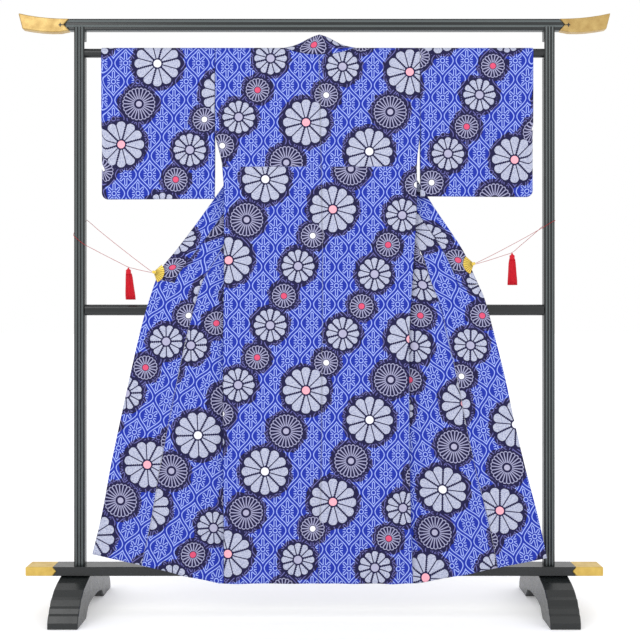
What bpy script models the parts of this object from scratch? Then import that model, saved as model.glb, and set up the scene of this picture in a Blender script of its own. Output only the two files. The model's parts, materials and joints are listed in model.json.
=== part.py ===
"""Cotton yukata robe shown from the back on a lacquered kimono stand.

Metres, +Z up. The feet stand on Z = 0 and the origin is the middle of their
footprint. The robe's back faces -Y. Its two fronts are swung out past the side
seams and held open by fan clips on cords that loop round the posts.
"""
import math
from collections import namedtuple

import bmesh
import bpy
import numpy as np

# Placing of the robe and the stand
POST_Y = -0.0465
ROBE_X = 0.0155

# Cloth
WALL = 0.0016
BAND_WALL = 0.0026
GAP = 0.0003
BAND_GAP = 0.0010

# Stand
POST_X = 0.711
POST_WIDTH = 0.033
POST_DEPTH = 0.034
POST_TOP = 1.7725
BEAM_BOTTOM = 1.7630
BEAM_HEIGHT = 0.0355
BEAM_DEPTH = 0.026
BEAM_HALF = 0.742
BEAM_SPIKE = 0.016
CAP_REACH = 0.896
ROD_Z = 1.6965
ROD_RADIUS = 0.0135
NOTCH_DEPTH = 0.010
NOTCH_TOP = 1.735
BAR_Z = 0.9165
BAR_HEIGHT = 0.033
BOARD_BOTTOM = 0.1165
BOARD_HEIGHT = 0.0273
BOARD_DEPTH = 0.071
BOARD_HALF = 0.787
BOARD_SPIKE = 0.012
BOARD_REACH = 0.868
FOOT_X = 0.720
FOOT_WIDTH = 0.088
FOOT_HALF = 0.2265

# Robe lengths
HEM_Z = 0.100
DRAPE_RADIUS = 0.0155
BAND_WIDTH = 0.055
OKUMI_WIDTH = 0.150
NECK_HALF = 0.1075
NECK_DROP = 0.0315
TUCK_Z = 1.350
TUCK_STEP = 0.0015
YOKE_RUN = 0.060
PLEAT_FLAP = 0.014
FOLD_RADIUS = 0.0045
NECK_FOLD_RADIUS = 0.0080
COLLAR_END = 0.845
CUFF_DROP = 0.230
SLEEVE_SEAM_Z = 1.459
CORNER_RADIUS = 0.020

# Cords, clips and tassels
CORD_DIAMETER = 0.0014
CLIP_RADIUS = 0.033
TASSEL_LENGTH = 0.096
TASSEL_STRANDS = 30
TASSEL_LEAN = {"left": 0.0070, "right": 0.0010}

Level = namedtuple("Level", "height sway left right back layer side")
LEVELS = [
    Level(0.100, -0.004, 0.2850, 0.2790, -0.0560, 0.0040, 0.0010),
    Level(0.250, 0.001, 0.2860, 0.2740, -0.0530, 0.0055, 0.0010),
    Level(0.530, 0.006, 0.2890, 0.2695, -0.0460, 0.0065, 0.0008),
    Level(0.800, 0.008, 0.2895, 0.2690, -0.0400, 0.0070, 0.0005),
    Level(1.030, 0.009, 0.2870, 0.2810, -0.0345, 0.0080, 0.0000),
    Level(1.250, 0.007, 0.2875, 0.2930, -0.0290, 0.0100, 0.0000),
    Level(1.355, 0.005, 0.2940, 0.2935, -0.0265, 0.0150, 0.0080),
    Level(1.459, 0.003, 0.3155, 0.3035, -0.0240, 0.0240, 0.0200),
    Level(1.6965, 0.0, 0.3157, 0.3037, -0.0155, 0.0310, 0.0291),
]

Edge = namedtuple("Edge", "run left left_height right right_height depth")
EDGES = [
    Edge(0.00, 0.679, 0.186, 0.680, 0.174, -0.050),
    Edge(0.12, 0.652, 0.303, 0.656, 0.291, -0.044),
    Edge(0.27, 0.626, 0.450, 0.619, 0.437, -0.038),
    Edge(0.42, 0.596, 0.597, 0.585, 0.583, -0.033),
    Edge(0.55, 0.569, 0.724, 0.559, 0.710, -0.030),
    Edge(0.70, 0.535, 0.871, 0.523, 0.856, -0.026),
    Edge(0.80, 0.507, 0.966, 0.497, 0.952, -0.024),
    Edge(0.87, 0.482, 1.033, 0.468, 1.018, -0.022),
    Edge(0.94, 0.436, 1.093, 0.438, 1.087, -0.018),
    Edge(1.01, 0.391, 1.153, 0.398, 1.152, -0.013),
    Edge(1.09, 0.341, 1.223, 0.350, 1.224, -0.007),
    Edge(1.17, 0.292, 1.294, 0.305, 1.298, 0.000),
    Edge(1.33, 0.202, 1.442, 0.210, 1.443, 0.012),
    Edge(1.42, 0.146, 1.521, 0.152, 1.521, 0.030),
    Edge(1.48, 0.109, 1.574, 0.113, 1.574, 0.040),
    Edge(1.54, 0.081, 1.631, 0.084, 1.631, 0.045),
    Edge(1.60, 0.066, 1.694, 0.068, 1.694, 0.045),
]

Width = namedtuple("Width", "run left right")
WIDTHS = [
    Width(0.00, 0.402, 0.406),
    Width(0.42, 0.394, 0.394),
    Width(0.85, 0.381, 0.376),
    Width(1.00, 0.362, 0.356),
    Width(1.20, 0.332, 0.325),
    Width(1.42, 0.299, 0.289),
    Width(1.60, 0.2645, 0.2525),
]

Fold = namedtuple("Fold", "across top bottom half_width depth lean")
FOLDS = [
    Fold(-0.385, 0.72, 0.02, 0.034, 0.010, -0.04),
    Fold(-0.245, 0.76, 0.02, 0.030, 0.008, 0.00),
    Fold(-0.090, 0.55, 0.02, 0.040, 0.004, 0.02),
    Fold(0.110, 0.62, 0.02, 0.040, 0.005, -0.02),
    Fold(0.225, 0.88, 0.02, 0.028, 0.009, -0.02),
    Fold(0.420, 0.68, 0.06, 0.036, 0.009, 0.06),
]

Cloth = namedtuple("Cloth", "side name")
SIDES = [Cloth(-1, "left"), Cloth(1, "right")]

# Colours: linear RGB, metallic, roughness
FINISHES = {
    "cotton": ((0.075, 0.115, 0.52), 0.0, 0.85),
    "lacquer": ((0.012, 0.014, 0.014), 0.0, 0.28),
    "gilt": ((0.80, 0.58, 0.20), 0.9, 0.35),
    "red_silk": ((0.60, 0.015, 0.03), 0.0, 0.7),
}


def clear_scene():
    """Remove every object, so that the model starts from nothing."""
    for item in list(bpy.data.objects):
        bpy.data.objects.remove(item, do_unlink=True)


def make_material(name):
    """One Principled material from the table of finishes."""
    colour, metallic, roughness = FINISHES[name]
    material = bpy.data.materials.new(name)
    material.use_nodes = True
    shader = material.node_tree.nodes["Principled BSDF"]
    shader.inputs["Base Color"].default_value = (*colour, 1.0)
    shader.inputs["Metallic"].default_value = metallic
    shader.inputs["Roughness"].default_value = roughness
    return material


def smooth_curve(at, knots, values):
    """Monotone cubic through the knots: slopes are limited so it never overshoots."""
    knots = np.asarray(knots, float)
    values = np.asarray(values, float)
    steps = np.diff(knots)
    slopes = np.diff(values) / steps
    tangents = np.zeros(len(knots))
    inner = slopes[:-1] * slopes[1:]
    together = np.maximum(np.abs(slopes[:-1] + slopes[1:]), 1e-12)
    tangents[1:-1] = np.where(inner > 0, 2 * inner / together * np.sign(slopes[1:]), 0.0)
    tangents[0] = slopes[0]
    tangents[-1] = slopes[-1]
    at = np.clip(np.asarray(at, float), knots[0], knots[-1])
    cell = np.clip(np.searchsorted(knots, at) - 1, 0, len(steps) - 1)
    t = (at - knots[cell]) / steps[cell]
    low = values[cell] * (1 + 2 * t) * (1 - t) ** 2 + values[cell + 1] * t * t * (3 - 2 * t)
    bend = steps[cell] * t * (1 - t) * (tangents[cell] * (1 - t) - tangents[cell + 1] * t)
    return low + bend


def column(table, key, name, at):
    """A named column of a table, read as a smooth function of its key column."""
    return smooth_curve(at, [getattr(row, key) for row in table],
                        [getattr(row, name) for row in table])


def ease(t):
    """Smooth step from 0 to 1."""
    t = np.clip(t, 0.0, 1.0)
    return t * t * (3 - 2 * t)


def relief(x, z):
    """How far the soft folds stand out of the cloth, towards the viewer's side."""
    total = np.zeros(np.broadcast(x, z).shape)
    for fold in FOLDS:
        length = fold.top - fold.bottom
        down = np.clip((fold.top - z) / length, 0.0, 1.0)
        offset = (x - fold.across - fold.lean * (down - 0.5)) / fold.half_width
        total = total + fold.depth * ease(down * 2.2) * np.exp(-offset * offset)
    return total


def back_depth(z):
    """Depth of the back panel; the tuck above it stands out by one step."""
    depth = column(LEVELS, "height", "back", z)
    return depth - TUCK_STEP * (np.asarray(z) > TUCK_Z) * (1 - ease((z - TUCK_Z) / 0.25))


def place(side, out, depth, height):
    """Robe point from its distance out of the centre, its depth and its height."""
    return np.stack([ROBE_X + side * out, POST_Y + depth, height], axis=-1)


def over_rod(run):
    """Depth and height at a run down the back from the shoulder line over the rod."""
    quarter = DRAPE_RADIUS * math.pi / 2
    if run <= quarter:
        angle = run / DRAPE_RADIUS
        return -DRAPE_RADIUS * math.sin(angle), ROD_Z + DRAPE_RADIUS * math.cos(angle)
    height = ROD_Z - (run - quarter)
    return float(back_depth(height)), height


def neck_run(out):
    """Run down the back at which the neck seam lies, an ellipse across the neck."""
    share = min(abs(out) / NECK_HALF, 1.0)
    return NECK_DROP * math.sqrt(1 - share * share)


def fold_radius(run):
    """Radius of the turn in a front, rounder towards the neck."""
    return FOLD_RADIUS + (NECK_FOLD_RADIUS - FOLD_RADIUS) * float(ease((run - 1.15) / 0.25))


def front_row(cloth, run):
    """One weft row of a front, from the side seam to the opening edge.

    It leaves the side seam inwards behind the back panel, turns once round a
    fold, and runs out to the opening edge. Returns the cloth distance along the
    row, the points, the distance of the fold, and how open the fold is.
    """
    side = cloth.side
    height = HEM_Z + run
    start = float(column(LEVELS, "height", cloth.name, height))
    edge_out = float(column(EDGES, "run", cloth.name, run))
    edge_height = float(column(EDGES, "run", cloth.name + "_height", run))
    width = float(column(WIDTHS, "run", cloth.name, run))
    rise = edge_height - height
    reach = edge_out - start
    level = math.sqrt(max(1 - (rise / width) ** 2, 0.0))
    inner = (width * level - reach) / (1 + level)
    first, second = math.pi, 0.0
    if inner < PLEAT_FLAP:
        inner = PLEAT_FLAP
        cosine = (reach - (width - inner) * level) / inner
        first = math.acos(max(min(cosine, 1.0), -1.0))
    turn = math.pi * fold_radius(run)
    tail_least = BAND_WIDTH + turn / 2 + 0.001
    if width - inner < tail_least:
        inner = width - tail_least
        cosine = (reach + inner) / tail_least
        second = math.acos(max(min(cosine, 1.0), -1.0))
    along = np.linspace(0.0, width, 401)
    step = along[1]
    heading = first + (second - first) * ease((along - inner) / turn + 0.5)
    outer = ease((along - inner) / turn + 0.5)
    out = np.cumsum(np.cos(heading) * (1 + (level - 1) * outer)) * step
    out += start + GAP * (1 + math.cos(first)) / 2 - out[0]
    depth = np.cumsum(np.sin(heading)) * step
    depth -= depth[0]
    back = float(back_depth(height))
    opening = float(column(LEVELS, "height", "side", height))
    layer = float(column(LEVELS, "height", "layer", height))
    begin = (WALL + GAP) * (1 - math.cos(first)) / 2 + opening
    depth += back + begin + (layer - begin) * ease(along / inner) * (1 - math.cos(first)) / 2
    tail = np.clip((along - inner) / (width - inner), 0.0, 1.0)
    out += (edge_out - out[-1]) * tail
    edge_depth = float(column(EDGES, "run", "depth", run))
    settle = (1 + math.cos(second)) / 2
    depth += (edge_depth - depth[-1]) * ease(tail) * settle
    lifted = height + rise * tail
    fade = ease((1.60 - lifted) / 0.3)
    depth -= relief(side * out, lifted) * fade
    return along, out, depth, lifted, inner


def row_points(cloth, run, distances):
    """Points of a front row at the given cloth distances from the side seam."""
    along, out, depth, lifted, _ = front_row(cloth, run)
    parts = [np.interp(distances, along, values) for values in (out, depth, lifted)]
    return place(cloth.side, *parts)


def width_at(cloth, run):
    """Cloth width from the side seam to the opening edge."""
    return float(column(WIDTHS, "run", cloth.name, run))


def collar_seam(cloth, run):
    """Cloth distance of the seam between a front and the collar band."""
    return width_at(cloth, run) - BAND_WIDTH


def okumi_seam(cloth, run):
    """Cloth distance of the seam between the body front and the overlap panel."""
    lower = width_at(cloth, 0.0) - OKUMI_WIDTH
    upper = collar_seam(cloth, OKUMI_TOP) - 0.004
    return lower + (upper - lower) * min(run / OKUMI_TOP, 1.0)


FRONT_RUNS = [0.0, 0.05, 0.10, 0.16, 0.24, 0.34, 0.45, 0.56, 0.68, 0.77, 0.84, 0.85,
              0.93, 1.01, 1.09, 1.17, 1.25, 1.33, 1.385, 1.388, 1.42, 1.455, 1.49,
              1.525, 1.56, ROD_Z - HEM_Z]
OKUMI_TOP = 1.385
BACK_HEIGHTS = [0.10, 0.17, 0.24, 0.32, 0.41, 0.50, 0.59, 0.68, 0.77, 0.86, 0.95,
                1.04, 1.12, 1.20, 1.28, 1.3485, 1.3515, 1.40, 1.459, 1.52, 1.59]
YOKE_SHARES = [1.0, 0.48, 0.36, 0.24, 0.12, 0.0]
FRONT_ARC = [22.5, 45.0, 67.5]
SIDE_COLUMNS = 12
NECK_ANGLES = [0.0, 14.0, 28.0, 42.0, 57.0, 73.0, 90.0]
NECK_COLUMNS = len(NECK_ANGLES) - 1


def body_front_distances(cloth, run):
    """Column places across a body front, closer together round the fold."""
    if run <= OKUMI_TOP:
        inner_edge = okumi_seam(cloth, run) - GAP
    else:
        inner_edge = collar_seam(cloth, run) - BAND_GAP
    fold = front_row(cloth, run)[4]
    turn = math.pi * fold_radius(run) / 2
    first = min(max(fold - turn, 0.004), inner_edge - 0.016)
    second = min(max(fold + turn, first + 0.010), inner_edge - 0.004)
    before = np.linspace(0.0, first, 5)
    round_fold = np.linspace(first, second, 6)[1:]
    after = np.linspace(second, inner_edge, SIDE_COLUMNS - 8)[1:]
    return np.concatenate([before, round_fold, after])


def grid_object(name, points, material, wall, closed=False, skip=None):
    """An open surface on a grid of points, thickened into a wall of cloth."""
    rows, columns_count = points.shape[:2]
    faces = []
    for i in range(rows if closed else rows - 1):
        for j in range(columns_count - 1):
            if skip and skip(i, j):
                continue
            k = (i + 1) % rows
            near, near_next = i * columns_count + j, i * columns_count + j + 1
            far, far_next = k * columns_count + j, k * columns_count + j + 1
            rising = np.linalg.norm(points[i, j] - points[k, j + 1])
            falling = np.linalg.norm(points[i, j + 1] - points[k, j])
            if rising <= falling:
                faces += [[near, near_next, far_next], [near, far_next, far]]
            else:
                faces += [[near, near_next, far], [near_next, far_next, far]]
    mesh = bpy.data.meshes.new(name)
    mesh.from_pydata(points.reshape(-1, 3).tolist(), [], faces)
    drop_loose_points(mesh)
    piece = add_object(name, mesh, material)
    solidify = piece.modifiers.new("wall", "SOLIDIFY")
    solidify.thickness = wall
    solidify.offset = 0.0
    solidify.use_even_offset = True
    return piece


def drop_loose_points(mesh):
    """Delete points that no face uses, and merge those that coincide."""
    shell = bmesh.new()
    shell.from_mesh(mesh)
    loose = [vertex for vertex in shell.verts if not vertex.link_faces]
    bmesh.ops.delete(shell, geom=loose, context="VERTS")
    bmesh.ops.remove_doubles(shell, verts=shell.verts, dist=1e-6)
    shell.to_mesh(mesh)
    shell.free()


def add_object(name, mesh, material):
    """Put a mesh into the model's collection under its part name."""
    piece = bpy.data.objects.new(name, mesh)
    mesh.materials.clear()
    mesh.materials.append(material)
    bpy.data.collections["yukata_on_stand"].objects.link(piece)
    return piece


def make_body(cloth, material):
    """One body length: back hem, up over the rod, and down to the front hem."""
    across = SIDE_COLUMNS + NECK_COLUMNS
    half_top = float(column(LEVELS, "height", cloth.name, ROD_Z))
    neck_shares = np.array([math.cos(math.radians(angle)) for angle in NECK_ANGLES[1:]])
    rows = []
    for height in BACK_HEIGHTS:
        half = float(column(LEVELS, "height", cloth.name, height))
        sway = cloth.side * float(column(LEVELS, "height", "sway", height)) + GAP / 2
        beside = half + (NECK_HALF - half) * np.linspace(0.0, 1.0, SIDE_COLUMNS + 1)
        out = np.concatenate([beside, sway + (NECK_HALF - sway) * neck_shares])
        depth = back_depth(height) - relief(cloth.side * out, height)
        rows.append(place(cloth.side, out, depth, np.full(across + 1, height)))
    for share in YOKE_SHARES:
        row = []
        for j in range(across + 1):
            if j <= SIDE_COLUMNS:
                out = half_top + (NECK_HALF + BAND_GAP - half_top) * j / SIDE_COLUMNS
                first = 0.0
            else:
                angle = math.radians(NECK_ANGLES[j - SIDE_COLUMNS])
                out = max((NECK_HALF + BAND_GAP) * math.cos(angle), GAP / 2)
                first = (NECK_DROP + BAND_GAP) * math.sin(angle)
            run = first + (YOKE_RUN - first) * share
            depth, height = over_rod(run)
            row.append(place(cloth.side, np.array(out), np.array(depth), np.array(height)))
        rows.append(np.array(row))
    shoulder = len(rows) - 1
    front = row_points(cloth, FRONT_RUNS[-1], body_front_distances(cloth, FRONT_RUNS[-1]))
    front = np.vstack([front, np.repeat(front[-1:], NECK_COLUMNS, axis=0)])
    top = rows[-1]
    for angle in reversed(FRONT_ARC):
        share = 1 - angle / 90.0
        points = top + (front - top) * share
        points[:, 1] = POST_Y + DRAPE_RADIUS * math.cos(math.radians(angle))
        points[:, 2] = ROD_Z + DRAPE_RADIUS * math.sin(math.radians(angle))
        rows.append(points)
    for run in reversed(FRONT_RUNS):
        points = row_points(cloth, run, body_front_distances(cloth, run))
        rows.append(np.vstack([points, np.repeat(points[-1:], NECK_COLUMNS, axis=0)]))

    def beyond_neck(i, j):
        return i >= shoulder and j >= SIDE_COLUMNS

    return grid_object("body_" + cloth.name, np.array(rows), material, WALL,
                       skip=beyond_neck)


def make_okumi(cloth, material):
    """Overlap panel between the body front, the opening edge and the collar."""
    rows = []
    for run in FRONT_RUNS:
        if run > OKUMI_TOP:
            break
        inner = okumi_seam(cloth, run)
        outer = width_at(cloth, run)
        if run > COLLAR_END - 0.001:
            outer = collar_seam(cloth, run) - BAND_GAP
        rows.append(row_points(cloth, run, np.linspace(inner + GAP, outer, 6)))
    return grid_object("okumi_" + cloth.name, np.array(rows), material, WALL)


BAND_SHARES = np.array([0.0, 0.15, 0.35, 0.55, 0.78, 1.0])

Neck = namedtuple("Neck", "angle edge_out edge_depth edge_height")
NECK_ROWS = [
    Neck(0.0, 0.0640, 0.0220, 1.7240),
    Neck(14.0, 0.0595, 0.0125, 1.7272),
    Neck(28.0, 0.0510, 0.0040, 1.7312),
    Neck(42.0, 0.0400, -0.0030, 1.7355),
    Neck(57.0, 0.0275, -0.0085, 1.7405),
    Neck(73.0, 0.0145, -0.0122, 1.7453),
]
NECK_TURNS = [Neck(30.0, 0.0655, 0.0480, 1.7080), Neck(60.0, 0.0650, 0.0350, 1.7175)]


def collar_half(cloth):
    """Rows of the collar from its end at the clip up to the side of the neck."""
    rows = []
    for run in FRONT_RUNS:
        if run < COLLAR_END:
            continue
        seam = collar_seam(cloth, run)
        free = width_at(cloth, run)
        shares = BAND_SHARES
        row = row_points(cloth, run, seam + (free - seam) * shares)
        if run < 0.86:
            lower = row_points(cloth, COLLAR_END - 0.004, seam + (free - seam) * shares)
            row = row + (lower - row) * shares[:, None]
        rows.append(row)
    return rows


def neck_half(cloth):
    """Rows of the collar round one side of the neck, up to the centre back."""
    rows = []
    below = row_points(cloth, FRONT_RUNS[-1], np.array([collar_seam(cloth, FRONT_RUNS[-1])]))
    below_out = cloth.side * (below[0, 0] - ROBE_X)
    for row in NECK_TURNS:
        turn = math.radians(row.angle)
        out = below_out + (NECK_HALF - below_out) * row.angle / 90.0
        seam = (out, DRAPE_RADIUS * math.cos(turn), ROD_Z + DRAPE_RADIUS * math.sin(turn))
        rows.append(band_row(cloth.side, seam, row[1:]))
    for row in NECK_ROWS:
        out = NECK_HALF * math.cos(math.radians(row.angle))
        rows.append(band_row(cloth.side, (out, *over_rod(neck_run(out))), row[1:]))
    return rows


def band_row(side, seam, edge):
    """Straight row of the band from its seam to its fold."""
    seam_point = place(side, *(np.array(value) for value in seam))
    edge_point = place(side, *(np.array(value) for value in edge))
    return seam_point + (edge_point - seam_point) * BAND_SHARES[:, None]


def make_collar(material):
    """Folded band from one clip, round the neck, to the other clip."""
    left, right = SIDES
    rows = collar_half(left) + neck_half(left)
    rows.append(band_row(1, (0.0, *over_rod(NECK_DROP)), (0.0, -0.0150, 1.7490)))
    rows += (collar_half(right) + neck_half(right))[::-1]
    return grid_object("collar_band", np.array(rows), material, BAND_WALL)


Sleeve = namedtuple("Sleeve", "height half_gap inner_centre outer_centre")
SLEEVE_LEVELS = [
    Sleeve(1.262, 0.0050, -0.0190, -0.0045),
    Sleeve(1.300, 0.0080, -0.0180, -0.0040),
    Sleeve(1.380, 0.0095, -0.0160, -0.0035),
    Sleeve(1.459, 0.0110, -0.0130, -0.0030),
    Sleeve(1.6965, 0.0155, 0.0000, 0.0000),
]
SLEEVE_REACH = {"left": 0.6600, "right": 0.6465}
SLEEVE_BOTTOM = {"left": 1.2515, "right": 1.2590}
SLEEVE_HEIGHTS = [0.012, 0.035, 0.07, 0.12, 0.17, 0.21, 0.25, 0.30, 0.37]
SLEEVE_SHARES = [0.0, 0.14, 0.32, 0.52, 0.70, 0.82, 0.90, 0.95, 0.985, 1.0]
CUFF_TAPER = 0.070


def sleeve_section(cloth, share):
    """Closed section of a sleeve at a share of its length from the body outwards."""
    inner = float(column(LEVELS, "height", cloth.name, ROD_Z)) + GAP
    outer = SLEEVE_REACH[cloth.name]
    out = inner + (outer - inner) * share
    corner = max(out - (outer - CORNER_RADIUS), 0.0)
    lift = CORNER_RADIUS - math.sqrt(max(CORNER_RADIUS ** 2 - corner ** 2, 0.0))
    bottom = SLEEVE_BOTTOM[cloth.name] + lift
    cuff = ease((out - (outer - CUFF_TAPER)) / CUFF_TAPER)
    wall_points = []
    for step in SLEEVE_HEIGHTS:
        height = min(bottom + step, ROD_Z - 0.01)
        half_gap = float(column(SLEEVE_LEVELS, "height", "half_gap", height))
        inner_centre = float(column(SLEEVE_LEVELS, "height", "inner_centre", height))
        outer_centre = float(column(SLEEVE_LEVELS, "height", "outer_centre", height))
        centre = inner_centre + (outer_centre - inner_centre) * ease(share)
        seam_top = ROD_Z + DRAPE_RADIUS - CUFF_DROP
        shut = cuff * (1 - ease((height - seam_top + 0.05) / 0.06))
        half_gap = half_gap + (0.0017 - half_gap) * shut
        half_gap = max(half_gap * (1 - math.exp(-step / 0.035)), 0.0017)
        wall_points.append((height, centre, half_gap))
    section = [(wall_points[0][1], bottom)]
    section += [(centre - half_gap, height) for height, centre, half_gap in wall_points]
    for angle in np.linspace(180.0, 0.0, 9):
        section.append((DRAPE_RADIUS * math.cos(math.radians(angle)),
                        ROD_Z + DRAPE_RADIUS * math.sin(math.radians(angle))))
    section += [(centre + half_gap, height) for height, centre, half_gap in wall_points[::-1]]
    section = np.array(section)
    return place(cloth.side, np.full(len(section), out), section[:, 0], section[:, 1])


def make_sleeve(cloth, material):
    """Sleeve: one length folded over the rod, closed below, open at both ends."""
    sections = np.array([sleeve_section(cloth, share) for share in SLEEVE_SHARES])
    return grid_object("sleeve_" + cloth.name, sections.transpose(1, 0, 2), material, WALL,
                       closed=True)


def box(name, low, high, material, bevel=0.0, segments=2):
    """A box between two corners, with rounded edges if asked."""
    mesh = bpy.data.meshes.new(name)
    shape = bmesh.new()
    bmesh.ops.create_cube(shape, size=1.0)
    low = np.array(low, float)
    high = np.array(high, float)
    for vertex in shape.verts:
        vertex.co = (low + high) / 2 + np.array(vertex.co) * (high - low)
    shape.to_mesh(mesh)
    shape.free()
    piece = add_object(name, mesh, material)
    if bevel:
        rounding = piece.modifiers.new("rounding", "BEVEL")
        rounding.width = bevel
        rounding.segments = segments
    return piece


def prism(name, outline, axis, low, high, material):
    """A flat outline of one plane carried straight along the third axis."""
    mesh = bpy.data.meshes.new(name)
    shape = bmesh.new()
    ends = []
    for level in (low, high):
        ring = []
        for a, b in outline:
            spot = [a, b]
            spot.insert(axis, level)
            ring.append(shape.verts.new(spot))
        ends.append(ring)
    count = len(outline)
    shape.faces.new(ends[0][::-1])
    shape.faces.new(ends[1])
    for i in range(count):
        j = (i + 1) % count
        shape.faces.new([ends[0][i], ends[0][j], ends[1][j], ends[1][i]])
    bmesh.ops.recalc_face_normals(shape, faces=shape.faces)
    shape.to_mesh(mesh)
    shape.free()
    return add_object(name, mesh, material)


def rounded_outline(half_width, half_height, radius, steps=3, bead=0.0):
    """Rounded rectangle; a bead adds a shallow groove each side of a raised rib."""
    points = []
    for quarter, (cx, cy) in enumerate([(1, 1), (-1, 1), (-1, -1), (1, -1)]):
        for step in range(steps + 1):
            angle = math.radians(90 * quarter + 90 * step / steps)
            points.append((cx * (half_width - radius) + radius * math.cos(angle),
                           cy * (half_height - radius) + radius * math.sin(angle)))
        if bead and quarter in (0, 2):
            level = half_height if quarter == 0 else -half_height
            inward = -bead if quarter == 0 else bead
            turn = 1 if quarter == 0 else -1
            rib = half_width * 0.34
            for place_x, dip in ((rib, 0), (rib * 0.72, 1), (rib * 0.4, 0),
                                 (-rib * 0.4, 0), (-rib * 0.72, 1), (-rib, 0)):
                points.append((place_x * turn, level + inward * dip))
    return points


def make_posts(material):
    """Two posts with a fork for the beam and a blind slot for the rod."""
    for cloth in SIDES:
        name = "post_" + cloth.name
        centre_x = cloth.side * POST_X
        outline = [(centre_x + x, POST_Y + y) for x, y in
                   rounded_outline(POST_WIDTH / 2, POST_DEPTH / 2, 0.006, bead=0.0012)]
        low = BOARD_BOTTOM + BOARD_HEIGHT + GAP
        post = prism(name, outline, 2, low, POST_TOP, material)
        fork = box("cut_fork_" + cloth.name,
                   (centre_x - 0.05, POST_Y - BEAM_DEPTH / 2 - GAP, BEAM_BOTTOM - GAP),
                   (centre_x + 0.05, POST_Y + BEAM_DEPTH / 2 + GAP, POST_TOP + 0.01), material)
        inner = cloth.side * (POST_X - POST_WIDTH / 2)
        bottom = inner + cloth.side * NOTCH_DEPTH
        slot = box("cut_slot_" + cloth.name,
                   (min(inner - cloth.side * 0.01, bottom), POST_Y - ROD_RADIUS - GAP,
                    ROD_Z - ROD_RADIUS - GAP),
                   (max(inner - cloth.side * 0.01, bottom), POST_Y + 0.03, NOTCH_TOP), material)
        for cutter in (fork, slot):
            cut(post, cutter)


def cut(piece, cutter):
    """Subtract a cutter, which moves to the hidden collection."""
    subtraction = piece.modifiers.new("cut", "BOOLEAN")
    subtraction.operation = "DIFFERENCE"
    subtraction.solver = "EXACT"
    subtraction.object = cutter
    bpy.data.collections["yukata_on_stand"].objects.unlink(cutter)
    bpy.data.collections["cutters"].objects.link(cutter)
    cutter.hide_render = True
    cutter.display_type = "WIRE"


def make_beam(black, gilt):
    """Top beam with a spiked end in each notched, upturned gilt cap."""
    middle = BEAM_BOTTOM + BEAM_HEIGHT / 2
    top = BEAM_BOTTOM + BEAM_HEIGHT
    spike = BEAM_HALF + BEAM_SPIKE
    outline = [(-BEAM_HALF, BEAM_BOTTOM), (BEAM_HALF, BEAM_BOTTOM), (spike, middle),
               (BEAM_HALF, top), (-BEAM_HALF, top), (-spike, middle)]
    beam = prism("top_beam", outline, 1, POST_Y - BEAM_DEPTH / 2, POST_Y + BEAM_DEPTH / 2, black)
    soften(beam, 0.004)
    tip_top = top + 0.0165
    tip_bottom = BEAM_BOTTOM + 0.0040
    arc = np.linspace(0.0, 1.0, 6)
    for cloth in SIDES:
        upper = [(BEAM_HALF + GAP + (CAP_REACH - BEAM_HALF) * t,
                  top + (tip_top - top) * t ** 2.2) for t in arc]
        lower = [(CAP_REACH - 0.012 - (CAP_REACH - 0.012 - BEAM_HALF) * t,
                  tip_bottom - 0.0075 * math.sin(math.pi * t * 0.86) - 0.0040 * t)
                 for t in arc]
        lower[-1] = (BEAM_HALF + GAP, BEAM_BOTTOM)
        points = upper + lower + [(spike + 2 * GAP, middle)]
        outline = [(cloth.side * x, z) for x, z in points]
        cap = prism("beam_cap_" + cloth.name, outline, 1,
                    POST_Y - BEAM_DEPTH / 2 - 0.0005, POST_Y + BEAM_DEPTH / 2 + 0.0005, gilt)
        soften(cap, 0.003)


def soften(piece, width, segments=2):
    """Round the sharp edges of a prism."""
    rounding = piece.modifiers.new("rounding", "BEVEL")
    rounding.width = width
    rounding.segments = segments
    rounding.limit_method = "ANGLE"
    rounding.angle_limit = math.radians(50)


def make_board(black, gilt):
    """Base board on the feet with a zigzag end in each gilt cap."""
    low = BOARD_BOTTOM + GAP
    high = BOARD_BOTTOM + BOARD_HEIGHT
    middle = (low + high) / 2
    front = POST_Y - BOARD_DEPTH / 2
    rear = POST_Y + BOARD_DEPTH / 2
    tooth = BOARD_HALF - BOARD_SPIKE
    outline = [(-BOARD_HALF, low), (BOARD_HALF, low), (tooth, middle), (BOARD_HALF, high),
               (-BOARD_HALF, high), (-tooth, middle)]
    board = prism("base_board", outline, 1, front, rear, black)
    soften(board, 0.0012, 1)
    for cloth in SIDES:
        points = [(BOARD_HALF + GAP, low), (BOARD_REACH, low), (BOARD_REACH, high),
                  (BOARD_HALF + GAP, high), (tooth + 2 * GAP, middle)]
        outline = [(cloth.side * x, z) for x, z in points]
        cap = prism("board_cap_" + cloth.name, outline, 1, front, rear, gilt)
        soften(cap, 0.002, 1)


def make_rails(material):
    """Round hanging rod in the slots, and the middle bar between the posts."""
    reach = POST_X - POST_WIDTH / 2 + NOTCH_DEPTH - GAP
    mesh = bpy.data.meshes.new("hanging_rod")
    shape = bmesh.new()
    bmesh.ops.create_cone(shape, cap_ends=True, segments=32, radius1=ROD_RADIUS,
                          radius2=ROD_RADIUS, depth=2 * reach)
    for vertex in shape.verts:
        x, y, z = vertex.co
        vertex.co = (z, POST_Y + y, ROD_Z - x)
    shape.to_mesh(mesh)
    shape.free()
    add_object("hanging_rod", mesh, material)
    inner = POST_X - POST_WIDTH / 2 - GAP
    outline = [(POST_Y + y, BAR_Z + z) for y, z in
               rounded_outline(BAR_HEIGHT / 2, BAR_HEIGHT / 2, 0.011, steps=4)]
    prism("middle_bar", outline, 0, -inner, inner, material)


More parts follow.
